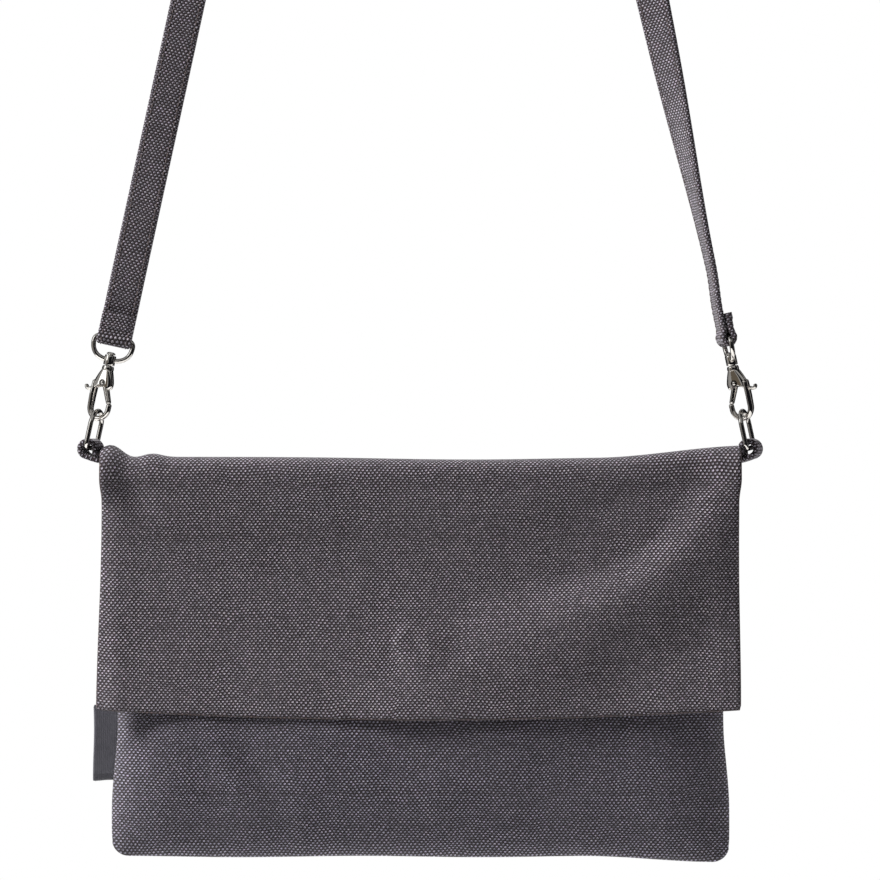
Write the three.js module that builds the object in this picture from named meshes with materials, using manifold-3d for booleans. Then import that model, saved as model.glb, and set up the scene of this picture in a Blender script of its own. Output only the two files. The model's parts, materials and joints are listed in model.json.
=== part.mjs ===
// A crossbody bag: a fold-over canvas pouch with a magnetic snap, hung by one long flat strap.
// The strap ends in swivel snap hooks, which clip to rings held by fabric tabs at the fold's ends.
// Millimetres, +Z up, front towards -Y. The origin is the underside of the strap at its top,
// where a peg or a shoulder carries the bag.

import * as THREE from 'three';
import { mergeVertices } from 'three/addons/utils/BufferGeometryUtils.js';
import Module from 'manifold-3d';

const wasm = await Module();
wasm.setup();

// Strap
const STRAP_LENGTH = 1200; // along its middle, from eye bar to eye bar
const STRAP_WIDTH = 15;
const STRAP_THICKNESS = 2.6;
const STRAP_EDGE = 0.6; // bevel along its edges
const PEG_RADIUS = 13.7; // of the peg that carries it
const HEM_LENGTH = 14; // turned-back end, above the eye bar
const LOOP_CLOSE = 2.2; // the end closes up this many loop radii above the eye bar
const LOOP_WRAP = 54; // degrees past half a turn, round the eye bar
// Distances from the nearer eye at which the strap starts and ends each quarter twist
const TWIST_ABOVE_RIGHT_EYE = [36, 235];
const TWIST_BELOW_PEG = [300, 560];

// Pouch and flap
const FLAP_WIDTH = 288;
const FLAP_FLARE = 1; // each lower corner stands out by this
const FLAP_DROP = 118; // from the fold's top to the middle of the lower edge
const FLAP_BOW = 4.5; // the lower edge's middle hangs below its corners
const POUCH_WIDTH = 275;
const BAG_HEIGHT = 179; // from the fold's top to the bottom seam
const POUCH_CORNER = 7; // radius of the lower corners
const LEAST_CORNER = 1; // of the linings inside them
const FOLD_RADIUS = 10; // outside of the fold, half the bag's depth
const CANVAS = 1.3;
const LINING = 0.5;
const MOUTH_DROP = 16; // the front panel's top edge below the fold's top
const CROWN_RUN = 32; // the front panel swells over this distance from its seams
const LINING_INSET = 12; // linings stop this far inside the pouch's edge
const FLAP_HEM = 4; // the flap's lining stops this far inside the flap's edge
const FLAP_LINING_START = 7; // and this far below the fold's axis, clear of the tabs

// Magnetic snap
const SNAP_DIAMETER = 18;
const SNAP_DROP = 84; // below the fold's top
const SNAP_OFFSET = -3; // left of the middle
const STUD_PLATE = 1.0;
const STUD_DIAMETER = 5.6;
const SOCKET_DEPTH = 2.4;
const SNAP_SHEET = 0.4; // plate thickness of the shell and base
const SNAP_WASHER = 0.5;
const WASHER_DIAMETER = 15;
const WASHER_HOLE = 3; // diameter
const SNAP_FIT = 0.12; // clearance between the snap's inner pieces

// Side label
const LABEL_OUT = 10;
const LABEL_HEIGHT = 36;
const LABEL_DROP = 109; // its top below the fold's top
const LABEL_THICKNESS = 0.8;
const LABEL_CORNER = 1.2;

// Tabs and rings
const TAB_WIDTH = 9;
const TAB_STRIP = 2.6; // two layers of the tab's strip
const TAB_ROOT = 17; // length tucked inside the fold
const RING_WIRE = 2.2;
const RING_HEIGHT = 17; // from its bar to its top, wire middles
const RING_CORNER = 2.4; // at the ends of the bar, wire middle
const RING_SIDE_PLAY = 0.75; // beside the tab
const RING_OUTSET = 5; // the bar stands beyond the flap's edge
const RING_RISE = 4; // the bar stands above the fold's top

// Strap eyes
const EYE_WIRE = 2.2;
const EYE_DEPTH = 10.3; // from its bar to the lowest of its bow, wire middles
const EYE_CORNER = 2.6;
const BOSS_DIAMETER = 5.2;
const BOSS_HEIGHT = 4.6;
const POST_DIAMETER = 2.4;
const POST_PLAY = 0.3; // radial, in the boss
const POST_HEAD_DIAMETER = 4.0;
const POST_HEAD_HEIGHT = 1.1;

// Snap hooks. Heights are above the middle of the bow's wire at its lowest.
const HOOK_WIRE = 2.4;
const HOOK_LENGTH = 24.2; // to the top of the collar
const HOOK_THICKNESS = 4.6;
const HOOK_BEVEL = 0.5;
const BOW_DEPTH = 3.4; // front to back, a deeper casting than its wire is wide
const BOW_HALF_WIDTH = 4.8; // wire middle
const BOW_MIDDLE = 5.2; // height of its widest place
const ARM_TOP = 13; // where the fixed arm runs into the head
const SHOULDER_HALF_WIDTH = 5.4;
const SHOULDER_HEIGHT = 13.4; // lower edge of the head on the gate side
const ARCH_HEIGHT = 14.2; // top of the opening
const PIVOT_HEIGHT = 16.3;
const NECK_HALF_WIDTH = 2.5;
const COLLAR_HEIGHT = 1.8;
const COLLAR_DIAMETER = 5.4;
const SLOT_WIDTH = 2.0;
const SLOT_TOP = 20.6;
const SLOT_SILL = 11.5; // floor of the slot behind the thumb lever
const HOOK_TURN = 30; // degrees, both hooks turned about their hang line
const RING_PLAY = 1.0; // between the ring's top and the bow below it

// Gates
const GATE_THICKNESS = 1.4;
const GATE_REACH = 9.2; // from the pivot to its end
const GATE_TIP_GAP = 0.3;
const HUB_RADIUS = 2.2;
const PIN_DIAMETER = 1.8;
const PIN_FIT = 0.12; // radial
const THUMB_REACH = 9.2; // sideways from the pivot
const THUMB_FALL = 4.0; // its tip below the pivot
const SPRING_DIAMETER = 1.6; // outside
const SPRING_WIRE = 0.3;
const SPRING_CURLS = 3;
const SPRING_OFFSET = 3.1; // sideways from the pivot, above the thumb lever
// Angles about the pivot, in degrees, from sideways away from the thumb lever
const GATE_END = [-57, -72]; // corners of the gate's end
const HUB_UPPER = [100, 15]; // hub's bare arc above
const HUB_LOWER = [-75, -125]; // and below
const THUMB_TIP = [-110, -245]; // round of the lever's tip, about its own middle
const THUMB_TIP_RADIUS = 0.8;

// Mesh fineness
const WIRE_SIDES = 8;
const TURNED_SIDES = 16;
const SNAP_SIDES = 28;
const ARC_STEPS = 6;
const FOLD_STEPS = 10;
const BOW_STEPS = 26;
const SWING_STEPS = 24;
const SPRING_SIDES = 5;
const SPRING_STEPS = 8; // in each curl
const LEG_STEPS = 24;
const CROWN_STEPS = 10;
const PANEL_STEPS = [20, 10];
const LINING_STEPS = [14, 8];

const CLEARANCE = 0.3; // between pieces that lie against each other
const SIDES = [
  { name: 'left', sign: -1 },
  { name: 'right', sign: 1 },
];

const radians = THREE.MathUtils.degToRad;

const canvas = new THREE.MeshStandardMaterial({ color: 0x544f54, roughness: 0.95, metalness: 0 });
const cotton = new THREE.MeshStandardMaterial({ color: 0xcfd0d6, roughness: 0.8, metalness: 0 });
const ribbon = new THREE.MeshStandardMaterial({ color: 0x4a494f, roughness: 0.7, metalness: 0 });
const nickel = new THREE.MeshStandardMaterial({ color: 0xcfcdc8, roughness: 0.2, metalness: 1 });
const ferrite = new THREE.MeshStandardMaterial({ color: 0x3a3a3d, roughness: 0.6, metalness: 0.3 });
const spring = new THREE.MeshStandardMaterial({ color: 0x9a9a9c, roughness: 0.35, metalness: 1 });

// Solids, joins and cuts

function toSolid(geometry) {
  const bare = geometry.clone();
  bare.deleteAttribute('normal');
  bare.deleteAttribute('uv');
  const merged = mergeVertices(bare, 1e-4);
  return new wasm.Manifold(
    new wasm.Mesh({
      numProp: 3,
      vertProperties: Float32Array.from(merged.attributes.position.array),
      triVerts: Uint32Array.from(merged.index.array),
    }),
  );
}

function fromSolid(solid) {
  const mesh = solid.getMesh();
  const geometry = new THREE.BufferGeometry();
  geometry.setAttribute('position', new THREE.BufferAttribute(mesh.vertProperties, 3));
  geometry.setIndex(new THREE.BufferAttribute(mesh.triVerts, 1));
  return geometry;
}

function joined(...geometries) {
  return fromSolid(geometries.map(toSolid).reduce((whole, next) => whole.add(next)));
}

function cut(geometry, ...tools) {
  return fromSolid(tools.map(toSolid).reduce((whole, tool) => whole.subtract(tool), toSolid(geometry)));
}

// A mesh from rings of points, each ring joined to the next. A closed run joins last to first,
// and an open one has its two ends capped.
function lofted(rings, closed) {
  const count = rings[0].length;
  const index = [];
  const spans = closed ? rings.length : rings.length - 1;
  for (let i = 0; i < spans; i++) {
    const here = i * count;
    const there = ((i + 1) % rings.length) * count;
    for (let k = 0; k < count; k++) {
      const next = (k + 1) % count;
      index.push(here + k, here + next, there + next, here + k, there + next, there + k);
    }
  }
  if (!closed) {
    const last = (rings.length - 1) * count;
    for (let k = 1; k < count - 1; k++) {
      index.push(0, k + 1, k);
      index.push(last, last + k, last + k + 1);
    }
  }
  return facingOut(indexed(rings.flat(), index));
}

function indexed(points, index) {
  const positions = points.flatMap((point) => [point.x, point.y, point.z]);
  const geometry = new THREE.BufferGeometry();
  geometry.setAttribute('position', new THREE.Float32BufferAttribute(positions, 3));
  geometry.setIndex(index);
  return geometry;
}

function facingOut(geometry) {
  const at = geometry.attributes.position;
  const order = geometry.index.array;
  const [a, b, c] = [new THREE.Vector3(), new THREE.Vector3(), new THREE.Vector3()];
  let volume = 0;
  for (let i = 0; i < order.length; i += 3) {
    a.fromBufferAttribute(at, order[i]);
    b.fromBufferAttribute(at, order[i + 1]);
    c.fromBufferAttribute(at, order[i + 2]);
    volume += a.dot(b.cross(c));
  }
  if (volume < 0) {
    geometry.setIndex(Array.from(order).reverse());
  }
  return geometry;
}

// A round wire bent to a closed flat loop, given as x and z.
function wireLoop(outline, wire, sides) {
  const count = outline.length;
  const rings = outline.map((point, i) => {
    const before = outline[(i + count - 1) % count];
    const after = outline[(i + 1) % count];
    const across = new THREE.Vector2(after.y - before.y, before.x - after.x).normalize();
    return Array.from({ length: sides }, (_, k) => {
      const turn = (2 * Math.PI * (k + 0.5)) / sides;
      const out = (wire / 2) * Math.cos(turn);
      return new THREE.Vector3(
        point.x + across.x * out,
        (wire / 2) * Math.sin(turn),
        point.y + across.y * out,
      );
    });
  });
  return lofted(rings, true);
}

// A flat outline, given as x and z, with a thickness along Y between two levels.
function plate(shape, front, back, curveSegments = ARC_STEPS) {
  const geometry = new THREE.ExtrudeGeometry(shape, {
    depth: back - front,
    bevelEnabled: false,
    curveSegments,
  });
  return geometry.rotateX(Math.PI / 2).translate(0, back, 0);
}

// A turned piece about Z, from pairs of radius and height.
function turned(profile, segments) {
  const points = profile.map(([radius, height]) => new THREE.Vector2(radius, height));
  return new THREE.LatheGeometry(points, segments).rotateX(Math.PI / 2);
}

// The same, about Y through a place on the bag.
function turnedAcross(profile, segments, x, z) {
  const points = profile.map(([radius, level]) => new THREE.Vector2(radius, level));
  return new THREE.LatheGeometry(points, segments).translate(x, 0, z);
}

function addPiece(parent, name, geometry, material) {
  const mesh = new THREE.Mesh(geometry, material);
  mesh.name = name;
  parent.add(mesh);
}

// Where everything hangs: the heights of a clasp's pieces along its hang line, above the ring's bar,
// and the lean that lets a strap of this length pass over the peg.

const bowRise = RING_HEIGHT - RING_WIRE / 2 - RING_PLAY - HOOK_WIRE / 2;
const bossFoot = bowRise + HOOK_LENGTH + CLEARANCE;
const eyeRise = bossFoot + BOSS_HEIGHT / 2 + EYE_DEPTH;
const ringX = FLAP_WIDTH / 2 + RING_OUTSET;
const crownRadius = PEG_RADIUS + STRAP_THICKNESS / 2;

function legLength(lean) {
  return STRAP_LENGTH / 2 - crownRadius * (Math.PI / 2 - lean);
}

function solveLean() {
  let lean = 0;
  const rounds = 40;
  for (let i = 0; i < rounds; i++) {
    const sideways = ringX - crownRadius * Math.cos(lean);
    lean = Math.asin(sideways / (legLength(lean) + eyeRise));
  }
  return lean;
}

const lean = solveLean();
const leg = legLength(lean);
const crownZ = -PEG_RADIUS;
const ringZ = crownZ + crownRadius * Math.sin(lean) - (leg + eyeRise) * Math.cos(lean);
const axisZ = ringZ - RING_RISE - FOLD_RADIUS;

// Depths through the bag, front to back. The snap's two halves fill the space below the flap.

const flapFront = -FOLD_RADIUS;
const flapBack = flapFront + CANVAS;
const studWasherFront = flapBack + CLEARANCE;
const flapLiningFront = studWasherFront + SNAP_WASHER + CLEARANCE;
const studFront = flapLiningFront + LINING + CLEARANCE;
const socketFront = studFront + STUD_PLATE + CLEARANCE;
const socketBack = socketFront + SOCKET_DEPTH;
const crownFront = socketBack + CLEARANCE;
const panelToLining = CLEARANCE + SNAP_WASHER + CLEARANCE;
const backFront = FOLD_RADIUS - CANVAS;
const backLiningFront = backFront - CLEARANCE - LINING;
const seamFront = backFront - CLEARANCE - CANVAS;

// Heights on the bag, from the fold's axis.

const bottomZ = FOLD_RADIUS - BAG_HEIGHT;
const mouthZ = FOLD_RADIUS - MOUTH_DROP;
const flapEdgeZ = FOLD_RADIUS - FLAP_DROP;
const snapZ = FOLD_RADIUS - SNAP_DROP;

function pouchOutline(inset, top) {
  const half = POUCH_WIDTH / 2 - inset;
  const foot = bottomZ + inset;
  const corner = Math.max(POUCH_CORNER - inset, LEAST_CORNER);
  const shape = new THREE.Shape();
  shape.moveTo(-half, top);
  shape.lineTo(-half, foot + corner);
  shape.absarc(-half + corner, foot + corner, corner, Math.PI, 1.5 * Math.PI);
  shape.absarc(half - corner, foot + corner, corner, 1.5 * Math.PI, 2 * Math.PI);
  shape.lineTo(half, top);
  return shape;
}

function flapOutline(inset, top) {
  const upper = FLAP_WIDTH / 2 - inset;
  const lower = upper + FLAP_FLARE;
  const cornerZ = flapEdgeZ + FLAP_BOW + inset;
  const shape = new THREE.Shape();
  shape.moveTo(-upper, top);
  shape.lineTo(-lower, cornerZ);
  shape.quadraticCurveTo(0, cornerZ - 2 * FLAP_BOW, lower, cornerZ);
  shape.lineTo(upper, top);
  return shape;
}

// Half a tube of cloth, bent over the fold's axis from the back to the front.
function foldOver(outside, thickness, width) {
  const arc = new THREE.Shape();
  arc.absarc(0, 0, outside, 0, Math.PI, false);
  arc.absarc(0, 0, outside - thickness, Math.PI, 0, true);
  const geometry = new THREE.ExtrudeGeometry(arc, {
    depth: width,
    bevelEnabled: false,
    curveSegments: FOLD_STEPS,
  });
  const layAlongX = new THREE.Matrix4().makeBasis(
    new THREE.Vector3(0, 1, 0),
    new THREE.Vector3(0, 0, 1),
    new THREE.Vector3(1, 0, 0),
  );
  return geometry.applyMatrix4(layAlongX).translate(-width / 2, 0, 0);
}

// The swelling front of the pouch, open at the top: 0 at its side and bottom seams, 1 inside.
function swell(x, z) {
  const rise = (distance) => {
    const run = Math.min(distance / CROWN_RUN, 1);
    return run * (2 - run);
  };
  return rise(POUCH_WIDTH / 2 - Math.abs(x)) * rise(z - bottomZ);
}

// A cloth that follows the swelling front, a given depth behind its outer face.
function crownedCloth(inset, behind, thickness, [across, up]) {
  const half = POUCH_WIDTH / 2 - inset;
  const foot = bottomZ + inset;
  const corner = Math.max(POUCH_CORNER - inset, LEAST_CORNER);
  const eased = (share) => 0.5 - 0.5 * Math.cos(Math.PI * share);
  const columns = Array.from({ length: across + 1 }, (_, i) => 2 * eased(i / across) - 1);
  const rows = Array.from({ length: up + 1 }, (_, k) => 1 - Math.cos((Math.PI / 2) * (k / up)));
  const rings = columns.map((u) => {
    const x = u * half;
    const inCorner = Math.max(Math.abs(x) - (half - corner), 0);
    const edge = foot + corner - Math.sqrt(corner ** 2 - inCorner ** 2);
    const faces = rows.map((v) => {
      const z = edge + (mouthZ - edge) * v;
      const y = seamFront - (seamFront - crownFront) * swell(x, z) + behind;
      return [new THREE.Vector3(x, y, z), new THREE.Vector3(x, y + thickness, z)];
    });
    const outer = faces.map((pair) => pair[0]);
    const inner = faces.map((pair) => pair[1]).reverse();
    return [...outer, ...inner];
  });
  return clothFromStrips(rings);
}

// Strips of outer points followed by inner ones make a closed cloth. Its ends are closed by quads.
function clothFromStrips(strips) {
  const count = strips[0].length;
  const rows = count / 2;
  const index = [];
  const sides = strips.length - 1;
  for (let i = 0; i < sides; i++) {
    for (let k = 0; k < count; k++) {
      const next = (k + 1) % count;
      const [a, b] = [i * count + k, i * count + next];
      const [c, d] = [a + count, b + count];
      index.push(a, b, d, a, d, c);
    }
  }
  const last = sides * count;
  for (let k = 0; k < rows - 1; k++) {
    const opposite = count - 1 - k;
    index.push(k, opposite, k + 1, k + 1, opposite, opposite - 1);
    index.push(last + k, last + k + 1, last + opposite);
    index.push(last + k + 1, last + opposite - 1, last + opposite);
  }
  return facingOut(indexed(strips.flat(), index));
}

const model = new THREE.Group();
const bag = new THREE.Group();
bag.position.z = axisZ;
model.add(bag);

// Pouch, flap and linings

function addPouch() {
  addPiece(bag, 'back_panel', plate(pouchOutline(0, -CLEARANCE), backFront, FOLD_RADIUS), canvas);
  addPiece(bag, 'front_panel', crownedCloth(0, 0, CANVAS, PANEL_STEPS), canvas);
  const backLiningShape = pouchOutline(LINING_INSET, -CLEARANCE);
  const backLining = plate(backLiningShape, backLiningFront, backLiningFront + LINING);
  addPiece(bag, 'back_lining', backLining, cotton);
  const frontLining = crownedCloth(LINING_INSET, CANVAS + panelToLining, LINING, LINING_STEPS);
  addPiece(bag, 'front_lining', frontLining, cotton);
}

function addFlap() {
  const foldLiningOutside = FOLD_RADIUS - CANVAS - CLEARANCE;
  const foldLiningWidth = POUCH_WIDTH - 2 * LINING_INSET - 2 * TAB_ROOT;
  addPiece(bag, 'flap_fold', foldOver(FOLD_RADIUS, CANVAS, FLAP_WIDTH), canvas);
  addPiece(bag, 'fold_lining', foldOver(foldLiningOutside, LINING, foldLiningWidth), cotton);
  addPiece(bag, 'flap_canvas', plate(flapOutline(0, -CLEARANCE), flapFront, flapBack), canvas);
  const liningShape = flapOutline(FLAP_HEM, -FLAP_LINING_START);
  const lining = plate(liningShape, flapLiningFront, flapLiningFront + LINING);
  addPiece(bag, 'flap_lining', lining, cotton);
}

// The snap's halves are turned plates and cups. The stud enters the socket's ring magnet.
function addSnap() {
  const rim = SNAP_DIAMETER / 2;
  const washer = WASHER_DIAMETER / 2;
  const washerHole = WASHER_HOLE / 2;
  const stud = STUD_DIAMETER / 2;
  const hole = stud + CLEARANCE;
  const shellInside = rim - SNAP_SHEET;
  const magnetFront = socketFront + SNAP_SHEET + SNAP_FIT;
  const baseFront = socketBack - SNAP_SHEET;
  const magnetBack = baseFront - SNAP_FIT;
  const add = (name, profile, material) => {
    addPiece(bag, name, turnedAcross(profile, SNAP_SIDES, SNAP_OFFSET, snapZ), material);
  };
  const ring = (inside, outside, front, back) => [
    [inside, front],
    [outside, front],
    [outside, back],
    [inside, back],
    [inside, front],
  ];
  add('stud_washer', ring(washerHole, washer, studWasherFront, studWasherFront + SNAP_WASHER), nickel);
  add(
    'snap_stud',
    [
      [0, studFront],
      [rim, studFront],
      [rim, studFront + STUD_PLATE],
      [stud, studFront + STUD_PLATE],
      [stud, magnetBack],
      [0, magnetBack],
    ],
    nickel,
  );
  add(
    'socket_shell',
    [
      [hole, socketFront],
      [rim, socketFront],
      [rim, socketBack],
      [shellInside, socketBack],
      [shellInside, socketFront + SNAP_SHEET],
      [hole, socketFront + SNAP_SHEET],
      [hole, socketFront],
    ],
    nickel,
  );
  add('socket_magnet', ring(hole, shellInside - SNAP_FIT, magnetFront, magnetBack), ferrite);
  add(
    'socket_base',
    [
      [0, baseFront],
      [shellInside - SNAP_FIT, baseFront],
      [shellInside - SNAP_FIT, socketBack],
      [0, socketBack],
    ],
    nickel,
  );
  const washerFront = crownFront + CANVAS + CLEARANCE;
  add('socket_washer', ring(washerHole, washer, washerFront, washerFront + SNAP_WASHER), nickel);
}

function addLabel() {
  const inner = -POUCH_WIDTH / 2 - CLEARANCE;
  const outer = inner - LABEL_OUT;
  const top = FOLD_RADIUS - LABEL_DROP;
  const foot = top - LABEL_HEIGHT;
  const shape = new THREE.Shape();
  shape.moveTo(inner, top);
  shape.lineTo(outer + LABEL_CORNER, top);
  shape.absarc(outer + LABEL_CORNER, top - LABEL_CORNER, LABEL_CORNER, Math.PI / 2, Math.PI);
  shape.absarc(outer + LABEL_CORNER, foot + LABEL_CORNER, LABEL_CORNER, Math.PI, 1.5 * Math.PI);
  shape.lineTo(inner, foot);
  const label = plate(shape, backFront - LABEL_THICKNESS / 2, backFront + LABEL_THICKNESS / 2);
  addPiece(bag, 'side_label', label, ribbon);
}

// A tab is a doubled strip sewn under the fold's end, which rises round the ring's bar.
function addTab(side) {
  const barX = ringX;
  const barZ = FOLD_RADIUS + RING_RISE;
  const hole = RING_WIRE / 2 + CLEARANCE;
  const loop = hole + TAB_STRIP / 2;
  const underFold = Math.sqrt((FOLD_RADIUS - CANVAS) ** 2 - (TAB_WIDTH / 2) ** 2) - CLEARANCE;
  const foot = underFold - TAB_STRIP;
  const foldEnd = FLAP_WIDTH / 2;
  const shape = new THREE.Shape();
  shape.moveTo(foldEnd - TAB_ROOT, foot);
  shape.lineTo(foldEnd, foot);
  shape.quadraticCurveTo(barX + loop, foot, barX + loop, barZ);
  shape.absarc(barX, barZ, loop, 0, Math.PI);
  shape.quadraticCurveTo(barX - loop, underFold, foldEnd, underFold);
  shape.lineTo(foldEnd - TAB_ROOT, underFold);
  const bore = new THREE.Path();
  bore.absarc(barX, barZ, hole, 0, 2 * Math.PI);
  shape.holes.push(bore);
  const strip = plate(shape, -TAB_WIDTH / 2, TAB_WIDTH / 2, ARC_STEPS);
  if (side.sign < 0) {
    strip.rotateZ(Math.PI);
  }
  addPiece(bag, `${side.name}_tab`, strip, canvas);
}

// Clasps: each hangs on a line that leans in towards the peg. Heights along it start at the ring's bar.

function hangLine(side) {
  const line = new THREE.Group();
  line.position.set(side.sign * ringX, 0, ringZ);
  line.rotation.y = -side.sign * lean;
  model.add(line);
  return line;
}

function addRing(side, line) {
  const half = TAB_WIDTH / 2 + RING_SIDE_PLAY + RING_WIRE / 2;
  const outline = new THREE.Path();
  outline.moveTo(-half + RING_CORNER, 0);
  outline.lineTo(half - RING_CORNER, 0);
  outline.absarc(half - RING_CORNER, RING_CORNER, RING_CORNER, -Math.PI / 2, 0);
  outline.lineTo(half, RING_HEIGHT - half);
  outline.absarc(0, RING_HEIGHT - half, half, 0, Math.PI);
  outline.lineTo(-half, RING_CORNER);
  outline.absarc(-half + RING_CORNER, RING_CORNER, RING_CORNER, Math.PI, 1.5 * Math.PI);
  const ring = wireLoop(loopPoints(outline, ARC_STEPS), RING_WIRE, WIRE_SIDES);
  ring.rotateZ(Math.PI / 2);
  addPiece(line, `${side.name}_ring`, ring, nickel);
}

// The points of a closed outline, with the repeated ones left out.
function loopPoints(outline, divisions) {
  const points = outline.getPoints(divisions);
  const apart = 1e-3;
  return points.filter((point, i) => {
    const before = points[(i + points.length - 1) % points.length];
    return point.distanceTo(before) > apart;
  });
}

// The strap eye is a D of wire with a boss at the lowest of its bow, bored for the hook's post.
function addEye(side, line) {
  const half = STRAP_WIDTH / 2 + CLEARANCE + EYE_WIRE / 2;
  const outline = new THREE.Path();
  outline.moveTo(half - EYE_CORNER, EYE_DEPTH);
  outline.lineTo(-half + EYE_CORNER, EYE_DEPTH);
  outline.absarc(-half + EYE_CORNER, EYE_DEPTH - EYE_CORNER, EYE_CORNER, Math.PI / 2, Math.PI);
  outline.quadraticCurveTo(-half, 0, 0, 0);
  outline.quadraticCurveTo(half, 0, half, EYE_DEPTH - EYE_CORNER);
  outline.absarc(half - EYE_CORNER, EYE_DEPTH - EYE_CORNER, EYE_CORNER, 0, Math.PI / 2);
  const wire = wireLoop(loopPoints(outline, ARC_STEPS), EYE_WIRE, WIRE_SIDES);
  const boss = turned(
    [
      [0, -BOSS_HEIGHT / 2],
      [BOSS_DIAMETER / 2, -BOSS_HEIGHT / 2],
      [BOSS_DIAMETER / 2, BOSS_HEIGHT / 2],
      [0, BOSS_HEIGHT / 2],
    ],
    TURNED_SIDES,
  );
  const boreRadius = POST_DIAMETER / 2 + POST_PLAY;
  const bore = turned(
    [
      [0, -BOSS_HEIGHT],
      [boreRadius, -BOSS_HEIGHT],
      [boreRadius, BOSS_HEIGHT],
      [0, BOSS_HEIGHT],
    ],
    TURNED_SIDES,
  );
  const eye = cut(joined(wire, boss), bore).translate(0, 0, bossFoot + BOSS_HEIGHT / 2);
  eye.rotateZ(strapTwist(side.sign > 0 ? STRAP_LENGTH : 0));
  addPiece(line, `${side.name}_strap_eye`, eye, nickel);
}

function hookTurn(side) {
  return radians(-HOOK_TURN) + (side.sign > 0 ? Math.PI : 0);
}

// The hook's head, seen across its plane: neck, shoulders, the arch over the opening and the root
// of the fixed arm.
function headOutline() {
  const neckZ = HOOK_LENGTH - COLLAR_HEIGHT;
  const arm = HOOK_WIRE / 2;
  const armOut = -BOW_HALF_WIDTH - arm;
  const armIn = -BOW_HALF_WIDTH + arm;
  const [shoulder, shoulderZ] = [SHOULDER_HALF_WIDTH, PIVOT_HEIGHT + HUB_RADIUS];
  const shape = new THREE.Shape();
  shape.moveTo(NECK_HALF_WIDTH, neckZ);
  shape.quadraticCurveTo(shoulder, shoulderZ, shoulder, SHOULDER_HEIGHT);
  shape.lineTo(BOW_HALF_WIDTH - HOOK_WIRE, SHOULDER_HEIGHT);
  shape.quadraticCurveTo(0, 2 * ARCH_HEIGHT - SHOULDER_HEIGHT, armIn, ARM_TOP);
  shape.lineTo(armIn, BOW_MIDDLE + arm);
  shape.lineTo(armOut, BOW_MIDDLE + arm);
  shape.lineTo(armOut, ARM_TOP);
  shape.quadraticCurveTo(armOut, shoulderZ, -NECK_HALF_WIDTH, neckZ);
  return shape;
}

function bevelled(shape, thickness, bevel, curveSegments) {
  const geometry = new THREE.ExtrudeGeometry(shape, {
    depth: thickness - 2 * bevel,
    bevelThickness: bevel,
    bevelSize: bevel,
    bevelOffset: -bevel,
    bevelSegments: 1,
    curveSegments,
  });
  return geometry.translate(0, 0, bevel - thickness / 2).rotateX(Math.PI / 2);
}

// The bow is round wire, from the fixed arm round below to a tip that the gate closes on.
function hookBow() {
  const tipReach = GATE_REACH + GATE_TIP_GAP;
  const at = (x, z) => new THREE.Vector3(x, 0, z);
  const armEnd = SLOT_SILL - CLEARANCE;
  const points = [at(-BOW_HALF_WIDTH, armEnd), at(-BOW_HALF_WIDTH, (armEnd + BOW_MIDDLE) / 2)];
  const samples = BOW_STEPS / 2;
  for (let i = 0; i <= samples; i++) {
    const turn = Math.PI + (Math.PI * i) / samples;
    points.push(at(BOW_HALF_WIDTH * Math.cos(turn), BOW_MIDDLE * (1 + Math.sin(turn))));
  }
  points.push(at(BOW_HALF_WIDTH, PIVOT_HEIGHT - tipReach + HOOK_WIRE));
  const section = new THREE.Shape();
  section.absellipse(0, 0, BOW_DEPTH / 2, HOOK_WIRE / 2, 0, 2 * Math.PI);
  const bow = new THREE.ExtrudeGeometry(section, {
    extrudePath: new THREE.CatmullRomCurve3(points),
    steps: BOW_STEPS,
    curveSegments: ARC_STEPS,
    bevelEnabled: false,
  });
  const swing = new THREE.Shape();
  swing.moveTo(0, PIVOT_HEIGHT);
  swing.absarc(0, PIVOT_HEIGHT, tipReach, -Math.PI / 2, 0);
  return cut(bow, plate(swing, -HOOK_THICKNESS, HOOK_THICKNESS, SWING_STEPS));
}

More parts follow.
